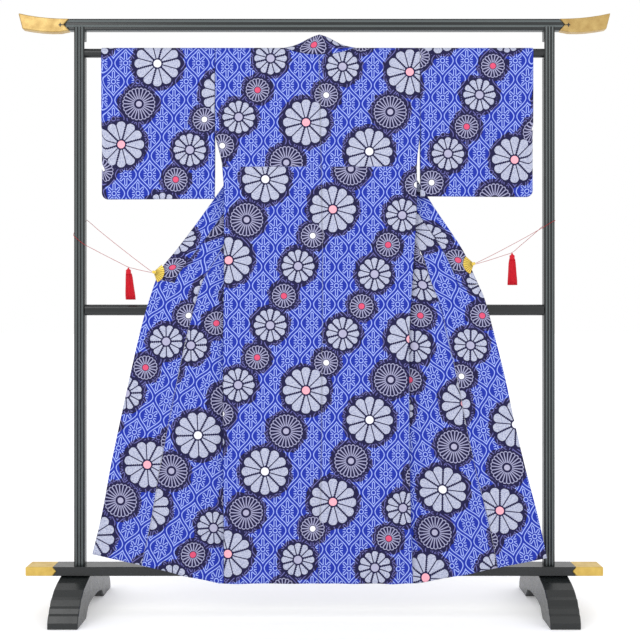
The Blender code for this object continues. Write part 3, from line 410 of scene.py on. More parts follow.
@dataclass(frozen=True)
class PrintedCotton:
    """Resist-dyed cotton: a net of pointed ovals with small flowers, and slanting
    chains of chrysanthemums and fine-petalled wheels on dark cloud bands."""

    ground: Colour = (30, 50, 164)
    wave: Colour = (164, 182, 244)
    cloud: Colour = (27, 25, 66)
    haze_wave: Colour = (104, 102, 164)
    petal: Colour = (196, 200, 216)
    petal_dim: Colour = (140, 146, 180)
    spoke: Colour = (168, 168, 200)
    period: float = 1.3393
    spacing: float = 0.2050
    step_along: float = 0.2823
    slope: Pair = (-0.4678, -0.8838)
    net_width: float = 0.0367
    net_height: float = 0.1125
    petals: float = 12.0
    petal_phase: float = 6.578
    petal_gap: float = 0.0016
    stitch_pitch: float = 0.0058
    stitch_depth: float = 0.0046
    blossom_heart: Pair = (0.0162, 0.0118)
    wheel_heart: Pair = (0.0108, 0.0088)
    line: float = 0.0014
    cloud_reach: float = 0.009
    haze_reach: float = 0.026
    lane_reach: float = 0.030
    # A ramp's red, green and blue hold a motif's place along, place across and size.
    ramp_start: float = 0.3
    ramp_along: float = 2.0
    ramp_across: float = 0.2
    ramp_size: float = 0.1

    def chain(self, across: Value, along: Value) -> Tuple[Value, Value]:
        """Place along and across the nearest chain, from the place on the cloth."""
        sx, sy = self.slope
        s = across * sx + along * sy
        t = across * -sy + along * sx
        index = (t / self.spacing + 0.5).floor()
        t = t - index * self.spacing
        s = s + index * self.step_along
        return (s / self.period).fraction(), t

    def row(self, graph: Graph, share: Value, t: Value, motifs: Sequence[Motif]) -> Polar:
        """Polar place in the nearest motif of one row of the chain.

        Args:
            graph: the material's nodes.
            share: place along the chain as a share of its period.
            t: distance across the chain.
            motifs: the charted motifs of this row, in order along the chain.
        Returns:
            Radius share, angle as a share of a turn, the motif's radius, and the
            colour of its heart.
        """
        ahead = [m.along for m in motifs[1:]] + [motifs[0].along + self.period]
        ends = [(m.along + following) / 2 for m, following in zip(motifs, ahead)]
        facts, hearts = [], []
        for lap in (-self.period, 0.0, self.period):
            begin = ends[-1] - self.period + lap
            for motif, end in zip(motifs, ends):
                if end + lap > 0.0 and begin < self.period:
                    at = max(begin, 0.0) / self.period
                    facts.append((at, ((motif.along + lap + self.ramp_start) / self.ramp_along,
                                       0.5 + motif.across / self.ramp_across,
                                       motif.radius / self.ramp_size, 1.0)))
                    hearts.append((at, linear(*motif.heart)))
                begin = end + lap
        fact, heart = (graph.node("ShaderNodeValToRGB", {"stops": stops}, {0: share})
                       for stops in (facts, hearts))
        middle, aside, size = graph.apart(fact)
        radius = size * self.ramp_size
        ls = share * self.period - (middle * self.ramp_along - self.ramp_start)
        lt = t - (aside - 0.5) * self.ramp_across
        rho = (ls * ls + lt * lt).root() / radius
        turn = lt.angle_from(ls) * (0.5 / math.pi)
        return rho, turn, radius, heart

    def centre(self, graph: Graph, distance: Value, radii: Pair, tone: Value,
               heart: Value) -> Value:
        """A motif's heart inside a dark ring, laid on its tone."""
        tone = graph.mix(distance.under(radii[0]), tone, self.cloud)
        return graph.mix(distance.under(radii[1]), tone, heart)

    def blossom(self, graph: Graph, polar: Polar, under: Value, grain: Value) -> Value:
        """Twelve round-tipped petals about a heart.

        A petal's rim pulls in at its sides by a power of the angle. Dark gaps part
        the petals, every other one with a stitched, saw-toothed edge.
        """
        rho, turn, radius, heart = polar
        distance = rho * radius
        count = turn * self.petals + self.petal_phase
        side = abs(count.fraction() - 0.5) * 2.0
        rim = 1.0 - (side ** 2.8) * 0.20
        half = distance * (math.pi / self.petals)
        odd = ((count + 0.5).floor() * 0.5).fraction().over(0.25)
        tooth = abs((distance / self.stitch_pitch).fraction() - 0.5) * self.stitch_depth
        parting = ((1.0 - side) * half - tooth * odd).under(self.petal_gap)
        tone = graph.mix(grain, self.petal, self.petal_dim)
        tone = graph.mix(parting, tone, self.cloud)
        tone = self.centre(graph, distance, self.blossom_heart, tone, heart)
        return graph.mix(rho.under(rim), under, tone)

    def wheel(self, graph: Graph, polar: Polar, under: Value) -> Value:
        """Narrow petals drawn in light outline on a dark round.

        Light lines run out between the petals and close over each tip in an arc.
        """
        rho, turn, radius, heart = polar
        petals = radius.over(0.045) * 6.0 + 18.0
        side = abs((turn * petals + 0.2).fraction() - 0.5) * 2.0
        rim = 1.0 - (side ** 2.4) * 0.085
        distance = rho * radius
        half = distance * math.pi / petals
        line = ((1.0 - side) * half).under(self.petal_gap) * rho.over(0.30)
        arc = abs((rho - rim + 0.03) * radius).under(self.line)
        tone = graph.mix(line.most(arc) * 0.92, self.cloud, self.spoke)
        tone = self.centre(graph, distance, self.wheel_heart, tone, heart)
        return graph.mix(rho.under(rim), under, tone)

    def net(self, across: Value, along: Value) -> Value:
        """Mask of a net of pointed ovals, each with a flower about its middle.

        The net is where two columns of ovals meet, at half a column's width times
        one plus a cosine; light lines run on both sides of it. The flower has a ring
        and eight petals drawn in outline, cut off inside the oval.
        """
        beside, petal_half, petal_root, petal_end = 0.0045, 0.0034, 0.0108, 0.0400
        clear, tip, ring, thin = 0.0088, 0.0096, 0.0064, 0.0013
        column = (across / self.net_width).floor()
        local = across - (column + 0.5) * self.net_width
        rise = along / self.net_height + column * 0.5
        swell = (rise * (2 * math.pi)).cos()
        slope = math.pi * self.net_width / self.net_height
        steep = ((1.0 - swell * swell) * slope ** 2 + 1.0).root()
        inside = ((swell + 1.0) * (self.net_width / 2) - abs(local)) / steep
        line = abs(abs(inside) - beside).under(self.line)
        up = ((rise + 0.5).fraction() - 0.5) * self.net_height
        rho = (local * local + up * up).root()
        turn = up.angle_from(local) * (4 / math.pi)
        aside = abs((turn + 0.5).fraction() - 0.5) * rho * (math.pi / 4)
        field = rho.over(petal_root) * rho.under(petal_end) * inside.over(clear)
        petal = abs(aside - petal_half).under(thin) * field
        close = abs(inside - tip).under(thin) * aside.under(petal_half) * rho.over(petal_root)
        return line.most(petal).most(close).most(abs(rho - ring).under(self.line))

    def dress(self, name: str, shift: Pair, flip: Pair = (1.0, 1.0)) -> Material:
        """The print as a material for one panel.

        Args:
            name: the material's name.
            shift: offset of the panel in the repeat, across and along the cloth.
            flip: sign of each direction of the panel in the repeat.
        Returns:
            The material.
        """
        graph = Graph(name)
        across, along, edge = graph.cloth()
        across = across * flip[0] + shift[0]
        along = along * flip[1] + shift[1]
        share, t = self.chain(across, along)
        blossoms = self.row(graph, share, t, BLOSSOMS)
        wheels = self.row(graph, share, t, WHEELS)
        cloth = graph.together(across, along)
        soft = graph.noise(cloth, 46.0, 2.0)
        net = self.net(across, along)
        near = ((blossoms[0] - 1.0) * blossoms[2]).least((wheels[0] - 1.0) * wheels[2])
        lane = abs(t - 0.012).under(soft * self.lane_reach + 0.003)
        haze = near.under(soft * self.haze_reach + 0.001).most(lane)
        ground = graph.mix(haze, self.ground, self.cloud)
        lines = graph.mix(haze, self.wave, self.haze_wave)
        colour = graph.mix(net * 0.94, ground, lines)
        cloud = near.under(soft * self.cloud_reach + 0.0002)
        colour = graph.mix(cloud, colour, self.cloud)
        colour = self.wheel(graph, wheels, colour)
        grain = (graph.noise(cloth, 260.0, 3.0) * 3.2 - 1.25).least(1.0).most(0.0)
        colour = self.blossom(graph, blossoms, colour, grain)
        mottled = graph.noise(cloth, 60.0, 4.0)
        colour = graph.mix((mottled - 0.30) * 0.4, colour, (140, 142, 180), "MULTIPLY")
        # painted shade: the print darkens towards navy within 3.5 mm of every sewn edge, as shade
        # at the seams
        fold = (1.0 - edge / 0.0035).most(0.0)
        colour = graph.mix(fold * 0.3, colour, (12, 12, 48))
        slub = graph.noise(graph.together(across * 1600.0, along * 260.0), 1.0, 2.0)
        weft = graph.noise(graph.together(across * 260.0, along * 1600.0), 1.0, 2.0)
        stitch = (1.0 - abs(edge - 0.0022) / 0.0012).most(0.0) * (along * 900.0).sin()
        pucker = (1.0 - edge / 0.020).most(0.0) * (along * 210.0).sin() * 0.9
        height = slub + weft + stitch * 0.8 + pucker + mottled
        graph.bump(height, 0.00035, 0.7)
        graph.shade(Base_Color=colour, Roughness=0.82, Sheen_Weight=0.08, Sheen_Roughness=0.5,
                    Specular_IOR_Level=0.2)
        return graph.material


@dataclass(frozen=True)
class Lacquer:
    """Polished near-black lacquer, with painted highlights on the crests of its fine raised lines.
    """

    colour: Colour = (16, 20, 21)
    # pale grey painted on the crests of the raised lines as a highlight
    crest_highlight: Colour = (104, 114, 114)

    def dress(self, name: str, reeds: Optional[Tuple[int, float, float]] = None) -> Material:
        """The lacquer; reeds give an axis, a middle and a pitch for fine raised lines and their
        painted highlight.
        """
        graph = Graph(name)
        parts = graph.place()
        dust = graph.noise(None, 34.0, 5.0)
        broad = graph.noise(None, 5.0, 3.0)
        colour = graph.mix((broad - 0.42) * 1.2, self.colour, (30, 35, 36))
        if reeds:
            axis, middle, pitch = reeds
            wave = (abs(abs(parts[axis]) - middle) * (2 * math.pi / pitch)).cos()
            rib = (wave * 0.5 + 0.5) ** 3.0
            # painted highlight: pale grey mixed in along the crest of each raised line
            colour = graph.mix(rib * 0.75, colour, self.crest_highlight)
            graph.bump(rib + dust * 0.05, 0.0011, 0.9)
        else:
            graph.bump(dust + broad * 2.0, 0.00025, 0.5)
        graph.shade(Base_Color=colour, Roughness=dust * 0.14 + 0.20, Specular_IOR_Level=0.5)
        return graph.material


@dataclass(frozen=True)
class Gilt:
    """Gilded brass: warm, brushed, and a little darker where it is handled."""

    colour: Colour
    deep: Colour

    def dress(self, name: str, brushed: float = 1.0, mark: Optional[Pair] = None,
              ribbed: bool = False) -> Material:
        """The gilt with fine brushing lines.

        Args:
            name: the material's name.
            brushed: strength of the brushing.
            mark: distance from the middle and height of a small inlaid cross whose
                stem runs back to the beam's point, or None.
            ribbed: whether dark grooves run between the ribs of a fan.
        Returns:
            The material.
        """
        graph = Graph(name)
        x, y, z = graph.place()
        spots = graph.noise(None, 46.0, 4.0)
        lines = graph.noise(graph.together(x * 60.0, y * 60.0, z * 1400.0), 1.0, 2.0)
        colour = graph.mix((spots - 0.38) * 1.5, self.colour, self.deep)
        metal: object = METAL
        if mark:
            out, off = abs(x) - mark[0], abs(z - mark[1])
            stem = off.under(0.0013) * out.under(0.0) * out.over(-0.022)
            bar = off.under(0.0060) * abs(out).under(0.0017)
            arms = off.under(0.0019) * abs(out).under(0.0050)
            inlay = stem.most(bar).most(arms)
            colour = graph.mix(inlay, colour, (22, 18, 16))
            metal = METAL - inlay * METAL
        if ribbed:
            rib, share, _ = graph.cloth()
            groove = (abs(rib.fraction() - 0.5) * share).under(0.11) * share.over(0.22)
            colour = graph.mix(groove * 0.8, colour, (88, 66, 20))
        graph.bump(lines * brushed + spots, 0.00018, 0.6)
        graph.shade(Base_Color=colour, Metallic=metal, Roughness=spots * 0.2 + 0.26)
        return graph.material


@dataclass(frozen=True)
class RedSilk:
    """Twisted red silk with a soft sheen."""

    colour: Colour = (208, 20, 40)
    shade_colour: Colour = (146, 8, 24)

    def dress(self, name: str, turns: float) -> Material:
        """The silk; turns is how many strands cross a metre of height."""
        graph = Graph(name)
        x, y, z = graph.place()
        twist = ((z + x * 0.7) * (2 * math.pi * turns)).sin()
        fibre = graph.noise(graph.together(x * 2200.0, y * 2200.0, z * 90.0), 1.0, 2.0)
        colour = graph.mix((fibre - 0.3) * 0.9, self.colour, self.shade_colour)
        graph.bump(twist * 0.5 + fibre, 0.00022, 0.8)
        graph.shade(Base_Color=colour, Roughness=0.6, Specular_IOR_Level=0.25)
        return graph.material


@dataclass
class FrontRows:
    """Weft rows of a front: distance along each, its path, and where it folds."""

    along: Array
    out: Array
    depth: Array
    height: Array
    fold: Array


class RobeDraft:
    """The hang of the robe, from which every cloth piece takes its points."""

    # height, sway, left, right, back, layer, side
    LEVELS = np.array([
        [0.100, -0.004, 0.2850, 0.2790, -0.0560, 0.0040, 0.0010],
        [0.250, 0.001, 0.2860, 0.2740, -0.0530, 0.0055, 0.0010],
        [0.530, 0.006, 0.2890, 0.2695, -0.0460, 0.0065, 0.0008],
        [0.800, 0.008, 0.2895, 0.2690, -0.0400, 0.0070, 0.0005],
        [1.030, 0.009, 0.2870, 0.2810, -0.0345, 0.0080, 0.0000],
        [1.250, 0.007, 0.2875, 0.2930, -0.0290, 0.0100, 0.0000],
        [1.355, 0.005, 0.2940, 0.2935, -0.0265, 0.0150, 0.0080],
        [1.459, 0.003, 0.3155, 0.3035, -0.0240, 0.0240, 0.0200],
        [1.6965, 0.0, 0.3157, 0.3037, -0.0155, 0.0310, 0.0291]])
    LEVEL_COLUMNS = {"sway": 1, "left": 2, "right": 3, "back": 4, "layer": 5, "side": 6}
    # run, left, left_height, right, right_height, depth
    EDGES = np.array([
        [0.00, 0.679, 0.186, 0.680, 0.174, -0.050], [0.12, 0.652, 0.303, 0.656, 0.291, -0.044],
        [0.27, 0.626, 0.450, 0.619, 0.437, -0.038], [0.42, 0.596, 0.597, 0.585, 0.583, -0.033],
        [0.55, 0.569, 0.724, 0.559, 0.710, -0.030], [0.70, 0.535, 0.871, 0.523, 0.856, -0.026],
        [0.80, 0.507, 0.966, 0.497, 0.952, -0.024], [0.87, 0.482, 1.033, 0.468, 1.018, -0.022],
        [0.94, 0.436, 1.093, 0.438, 1.087, -0.018], [1.01, 0.391, 1.153, 0.398, 1.152, -0.013],
        [1.09, 0.341, 1.223, 0.350, 1.224, -0.007], [1.17, 0.292, 1.294, 0.305, 1.298, 0.000],
        [1.33, 0.202, 1.442, 0.210, 1.443, 0.012], [1.42, 0.146, 1.521, 0.152, 1.521, 0.030],
        [1.48, 0.109, 1.574, 0.113, 1.574, 0.040], [1.54, 0.081, 1.631, 0.084, 1.631, 0.045],
        [1.60, 0.066, 1.694, 0.068, 1.694, 0.045]])
    EDGE_COLUMNS = {"left": 1, "left_height": 2, "right": 3, "right_height": 4, "depth": 5}
    # run, left, right
    WIDTHS = np.array([[0.00, 0.402, 0.406], [0.42, 0.394, 0.394], [0.85, 0.381, 0.376],
                       [1.00, 0.362, 0.356], [1.20, 0.332, 0.325], [1.42, 0.299, 0.289],
                       [1.60, 0.2645, 0.2525]])
    # across, top, bottom, half width, depth, lean
    FOLDS = np.array([
        [-0.385, 0.72, 0.02, 0.034, 0.010, -0.04], [-0.245, 0.76, 0.02, 0.030, 0.008, 0.00],
        [-0.090, 0.55, 0.02, 0.040, 0.004, 0.02], [0.110, 0.62, 0.02, 0.040, 0.005, -0.02],
        [0.225, 0.88, 0.02, 0.028, 0.009, -0.02], [0.420, 0.68, 0.06, 0.036, 0.009, 0.06]])
    # Fine creases: across, height, length, half width, depth, slant of the crease
    CREASES = np.array([
        [-0.200, 1.20, 0.30, 0.006, 0.0014, 0.05], [-0.105, 1.14, 0.24, 0.005, 0.0010, -0.03],
        [0.060, 1.22, 0.26, 0.005, 0.0011, 0.03], [0.170, 1.16, 0.32, 0.006, 0.0014, -0.05],
        [-0.150, 0.86, 0.36, 0.008, 0.0013, 0.02], [0.090, 0.90, 0.32, 0.007, 0.0012, -0.02],
        [-0.040, 0.42, 0.40, 0.009, 0.0016, 0.01], [0.030, 0.66, 0.30, 0.007, 0.0010, 0.00],
        [-0.310, 0.46, 0.44, 0.010, 0.0020, -0.04], [-0.470, 0.38, 0.40, 0.010, 0.0022, -0.09],
        [-0.430, 0.66, 0.30, 0.008, 0.0016, -0.06], [0.330, 0.50, 0.44, 0.010, 0.0020, 0.04],
        [0.500, 0.40, 0.40, 0.010, 0.0020, 0.10], [0.400, 0.86, 0.30, 0.008, 0.0014, 0.06],
        [-0.240, 1.56, 0.18, 0.008, 0.0012, -0.04], [0.225, 1.56, 0.18, 0.008, 0.0012, 0.04],
        [-0.130, 1.58, 0.12, 0.007, 0.0009, 0.03], [0.125, 1.58, 0.12, 0.007, 0.0009, -0.03]])

    @classmethod
    def level(cls, name: str, height: Array) -> Array:
        """A named quantity of the back at a height."""
        return monotone(height, cls.LEVELS[:, 0], cls.LEVELS[:, cls.LEVEL_COLUMNS[name]])

    @classmethod
    def edge(cls, name: str, run: Array) -> Array:
        """A named quantity of the opening edge at a run up the front."""
        return monotone(run, cls.EDGES[:, 0], cls.EDGES[:, cls.EDGE_COLUMNS[name]])

    @classmethod
    def width(cls, side: Side, run: Array) -> Array:
        """Cloth width of a front from the side seam to the opening edge."""
        return monotone(run, cls.WIDTHS[:, 0], cls.WIDTHS[:, 1 if side is Side.LEFT else 2])

    @classmethod
    def relief(cls, x: Array, z: Array) -> Array:
        """Soft folds and fine creases: sums of Gaussian ridges that fade at both ends."""
        total = np.zeros(np.broadcast(x, z).shape)
        for across, top, bottom, half, depth, lean in cls.FOLDS:
            down = np.clip((top - z) / (top - bottom), 0.0, 1.0)
            offset = (x - across - lean * (down - 0.5)) / half
            total = total + depth * ease(down * 2.2) * np.exp(-offset * offset)
        for across, height, length, half, depth, lean in cls.CREASES:
            rise = (z - height) / length
            offset = (x - across - lean * rise) / half
            total = total + depth * np.exp(-offset * offset - 4 * rise * rise)
        ripple = np.sin(x * 61.0 + 2.2 * np.sin(z * 4.1) + z * 3.0)
        return total + 0.0006 * ripple * ease((1.30 - z) / 0.4)

    @classmethod
    def back_depth(cls, z: Array) -> Array:
        """Depth of the back panel, with the tuck that stands out above its line."""
        step = 0.0015 * ease((z - TUCK_Z) / 0.0026) * (1 - ease((z - 1.350) / 0.25))
        return cls.level("back", z) - step

    @staticmethod
    def place(side: int, out: Array, depth: Array, height: Array) -> Array:
        """Points from distances out of the centre, depths and heights."""
        out, depth, height = np.broadcast_arrays(out, depth, height)
        return np.stack([ROBE_X + side * out, POST_Y + depth, height], axis=-1)

    @classmethod
    def over_rod(cls, run: Array) -> Tuple[Array, Array]:
        """Depth and height at a run down the back from the shoulder line."""
        run = np.asarray(run, float)
        quarter = DRAPE * math.pi / 2
        angle = np.minimum(run, quarter) / DRAPE
        below = ROD_Z - np.maximum(run - quarter, 0.0)
        depth = np.where(run <= quarter, -DRAPE * np.sin(angle), cls.back_depth(below))
        height = np.where(run <= quarter, ROD_Z + DRAPE * np.cos(angle), below)
        return depth, height

    @staticmethod
    def fold_length(run: Array) -> Array:
        """Cloth length round a front's fold, which is wider near the shoulder."""
        return math.pi * (0.0045 + 0.0035 * ease((run - 1.15) / 0.25))

    @classmethod
    def front_rows(cls, side: Side, runs: Array) -> FrontRows:
        """Weft rows of a front: in behind the back panel, round a fold, and out.

        Each row's heading turns by a smooth step at the fold, and its points are
        the running sum of unit steps along that heading.
        """
        run = np.asarray(runs, float)[:, None]
        height = HEM_Z + run
        start = cls.level(side.word, height)
        edge_out = cls.edge(side.word, run)
        rise = cls.edge(side.word + "_height", run) - height
        width = cls.width(side, run)
        reach = edge_out - start
        level = np.sqrt(np.maximum(1 - (rise / width) ** 2, 0.0))
        inner = (width * level - reach) / (1 + level)
        tight = inner < LEAST_LAP
        inner = np.where(tight, LEAST_LAP, inner)
        cosine = np.clip((reach - (width - inner) * level) / inner, -1.0, 1.0)
        first = np.where(tight, np.arccos(cosine), math.pi)
        turn = cls.fold_length(run)
        least = BAND + turn / 2 + 0.001
        short = width - inner < least
        inner = np.where(short, width - least, inner)
        cosine = np.clip((reach + inner) / least, -1.0, 1.0)
        second = np.where(short, np.arccos(cosine), 0.0)
        along = width * np.linspace(0.0, 1.0, 601)[None, :]
        step = along[:, 1:2]
        swing = ease((along - inner) / turn + 0.5)
        heading = first + (second - first) * swing
        out = np.cumsum(np.cos(heading) * (1 + (level - 1) * swing), axis=1) * step
        out = out + start + SEAM_GAP * (1 + np.cos(first)) / 2 - out[:, :1]
        depth = np.cumsum(np.sin(heading), axis=1) * step
        depth = depth - depth[:, :1]
        begin = 0.0019 * (1 - np.cos(first)) / 2 + cls.level("side", height)
        lie = begin + (cls.level("layer", height) - begin) * ease(along / inner) \
            * (1 - np.cos(first)) / 2
        depth = depth + cls.back_depth(height) + lie
        tail = np.clip((along - inner) / (width - inner), 0.0, 1.0)
        out = out + (edge_out - out[:, -1:]) * tail
        settle = (1 + np.cos(second)) / 2
        depth = depth + (cls.edge("depth", run) - depth[:, -1:]) * ease(tail) * settle
        lifted = height + rise * tail
        depth = depth - cls.relief(side.value * out, lifted) * ease((1.60 - lifted) / 0.3)
        return FrontRows(along, out, depth, lifted, inner[:, 0])

    @classmethod
    def front_points(cls, side: Side, runs: Array, distances: Array) -> Array:
        """Points of front rows at cloth distances from the side seam.

        Args:
            side: which half.
            runs: (rows,) runs up the front.
            distances: (rows, columns) distances along each row.
        Returns:
            (rows, columns, 3) points, read between the samples of each row.
        """
        rows = cls.front_rows(side, runs)
        step = rows.along[:, 1:2]
        at = np.clip(distances / step, 0.0, rows.along.shape[1] - 1.0001)
        low = at.astype(int)
        part = at - low
        read = [np.take_along_axis(values, low, 1) * (1 - part)
                + np.take_along_axis(values, low + 1, 1) * part
                for values in (rows.out, rows.depth, rows.height)]
        return cls.place(side.value, *read)

    @classmethod
    def okumi_seam(cls, side: Side, run: Array) -> Array:
        """Cloth distance of the seam between body front and overlap panel."""
        lower = cls.width(side, np.array(0.0)) - OKUMI_WIDTH
        upper = cls.width(side, np.array(OKUMI_TOP)) - BAND - 0.004
        return lower + (upper - lower) * np.minimum(run / OKUMI_TOP, 1.0)


def declare(piece: Object, node: str) -> None:
    """Tie a cloth piece to the root, in place of its node."""
    tie(piece, node)


@dataclass
class BodyPanel:
    """One body length: back hem, up over the rod, and down to the front hem."""

    side: Side
    side_columns: int = 66
    neck_columns: int = 20

    def back_grid(self) -> Tuple[Array, Array]:
        """Back panel from the hem to the shoulder line, and its place in the print."""
        side, draft = self.side, RobeDraft
        low = np.concatenate([np.linspace(HEM_Z, 1.3470, 150), np.linspace(TUCK_Z, 1.3520, 4),
                              np.linspace(1.358, 1.59, 26)])[:, None]
        half = draft.level(side.word, low)
        sway = side.value * draft.level("sway", low) + SEAM_GAP / 2
        beside = half + (NECK_HALF - half) * np.linspace(0.0, 1.0, self.side_columns + 1)[None]
        angles = np.linspace(0.0, 90.0, self.neck_columns + 1)[1:]
        share = np.cos(np.radians(angles))[None]
        out = np.hstack([beside, sway + (NECK_HALF - sway) * share])
        depth = draft.back_depth(low) - draft.relief(side.value * out, low)
        lower = draft.place(side.value, out, depth, low)
        lower_place = np.stack(np.broadcast_arrays(
            side.value * out, low + TUCK_HIDES * (low >= TUCK_Z),
            np.minimum(half - out, out - sway)), -1)
        shares = np.linspace(1.0, 0.0, 14)[:, None]
        top = float(draft.level(side.word, np.array(ROD_Z)))
        wide = top + (NECK_HALF - top) * np.linspace(0.0, 1.0, self.side_columns + 1)[None]
        begin = np.hstack([0 * wide, NECK_DROP * np.sin(np.radians(angles))[None]])
        out = np.hstack([wide, np.maximum(NECK_HALF * share, SEAM_GAP / 2)])
        run = begin + (SHOULDER_RUN - begin) * shares
        depth, height = draft.over_rod(run)
        upper = draft.place(side.value, out, depth, height)
        quarter = ROD_Z + DRAPE * math.pi / 2
        from_neck = np.where(out < NECK_HALF, run - begin, 1.0)
        upper_place = np.stack(np.broadcast_arrays(
            side.value * out, quarter + TUCK_HIDES - run,
            np.minimum(np.minimum(top - out, out), from_neck)), -1)
        return np.vstack([lower, upper]), np.vstack([lower_place, upper_place])

    def front_distances(self, runs: Array) -> Array:
        """Column places across the front, closer together round the fold."""
        draft, side = RobeDraft, self.side
        inner_edge = np.where(runs <= OKUMI_TOP, draft.okumi_seam(side, runs),
                              draft.width(side, runs) - BAND - BAND_GAP) - SEAM_GAP
        fold = draft.front_rows(side, runs).fold
        turn = draft.fold_length(runs) / 2
        first = np.minimum(np.maximum(fold - turn, 0.004), inner_edge - 0.016)[:, None]
        second = np.maximum(fold + turn, first[:, 0] + 0.010)
        second = np.minimum(second, inner_edge - 0.004)[:, None]
        third = self.side_columns // 3
        t = np.linspace(0.0, 1.0, third + 1)[None]
        return np.hstack([first * t, (first + (second - first) * t)[:, 1:],
                          (second + (inner_edge[:, None] - second) * t)[:, 1:]])

    def build(self, material: Material, front_material: Material) -> Object:
        """The whole length as one thin sheet, whose front rows follow its back rows."""
        draft, side = RobeDraft, self.side
        back, back_place = self.back_grid()
        runs = np.concatenate([np.linspace(0.0, 0.84, 84), np.linspace(0.85, ROD_Z - HEM_Z, 96)])
        distances = self.front_distances(runs)
        front = draft.front_points(side, runs, distances)[::-1]
        distances, runs = distances[::-1], runs[::-1]
        shoulder = back[-1, :self.side_columns + 1]
        angles = np.linspace(82.0, 8.0, 9)[:, None, None]
        share = 1 - angles / 90.0
        arc = shoulder + (front[:1] - shoulder) * share
        arc[:, :, 1] = POST_Y + DRAPE * np.cos(np.radians(angles[:, :, 0]))
        arc[:, :, 2] = ROD_Z + DRAPE * np.sin(np.radians(angles[:, :, 0]))
        grid = np.vstack([shoulder[None], arc, front])
        width = draft.width(side, runs)[:, None]
        along = ROD_Z + DRAPE * math.pi - (runs[:, None] + HEM_Z - ROD_Z)
        edge = np.minimum(distances, distances[:, -1:] - distances)
        across = side.value * (PRINT_ORIGIN - (width - distances))
        place = np.stack(np.broadcast_arrays(across, along, edge), -1)
        over = place[:1].repeat(len(grid) - len(front), 0)
        lift = np.linspace(DRAPE * math.pi / 2, 0.0, len(over), endpoint=False)
        over[:, :, 1] -= lift[:, None]
        place = np.vstack([over, place])
        piece = sheet_mesh(f"body_{side.word}_cloth", [back, grid], [back_place, place],
                           [material, front_material])
        slots = np.zeros(len(piece.data.polygons), np.int32)
        slots[(back.shape[0] - 1) * (back.shape[1] - 1):] = 1
        piece.data.polygons.foreach_set("material_index", slots)
        weld = piece.modifiers.new("shoulder", "WELD")
        weld.merge_threshold = 0.00002
        piece.modifiers.move(1, 0)
        declare(piece, f"body_{side.word}")
        return piece


@dataclass
class OverlapPanel:
    """The straight panel between a body front and the opening edge."""

    side: Side
    columns: int = 34

    def build(self, material: Material) -> Object:
        """A sheet that narrows upwards beside the collar band."""
        draft, side = RobeDraft, self.side
        runs = np.concatenate([np.linspace(0.0, COLLAR_END - 0.001, 100),
                               np.linspace(COLLAR_END + 0.0005, OKUMI_TOP, 60)])
        inner = draft.okumi_seam(side, runs) + SEAM_GAP
        outer = draft.width(side, runs)
        outer = np.where(runs > COLLAR_END, outer - BAND - BAND_GAP, outer)
        t = np.linspace(0.0, 1.0, self.columns)[None]
        distances = inner[:, None] + (outer - inner)[:, None] * t
        points = draft.front_points(side, runs, distances)
        width = draft.width(side, runs)[:, None]
        along = runs[:, None]
        beside_band = np.where(along > COLLAR_END, outer[:, None] - distances, 1.0)
        edge = np.minimum(distances - inner[:, None], beside_band)
        place = np.stack(np.broadcast_arrays(side.value * (width - distances), along, edge), -1)
        piece = sheet_mesh(f"okumi_{side.word}_cloth", [points], [place], [material])
        declare(piece, f"okumi_{side.word}")
        return piece


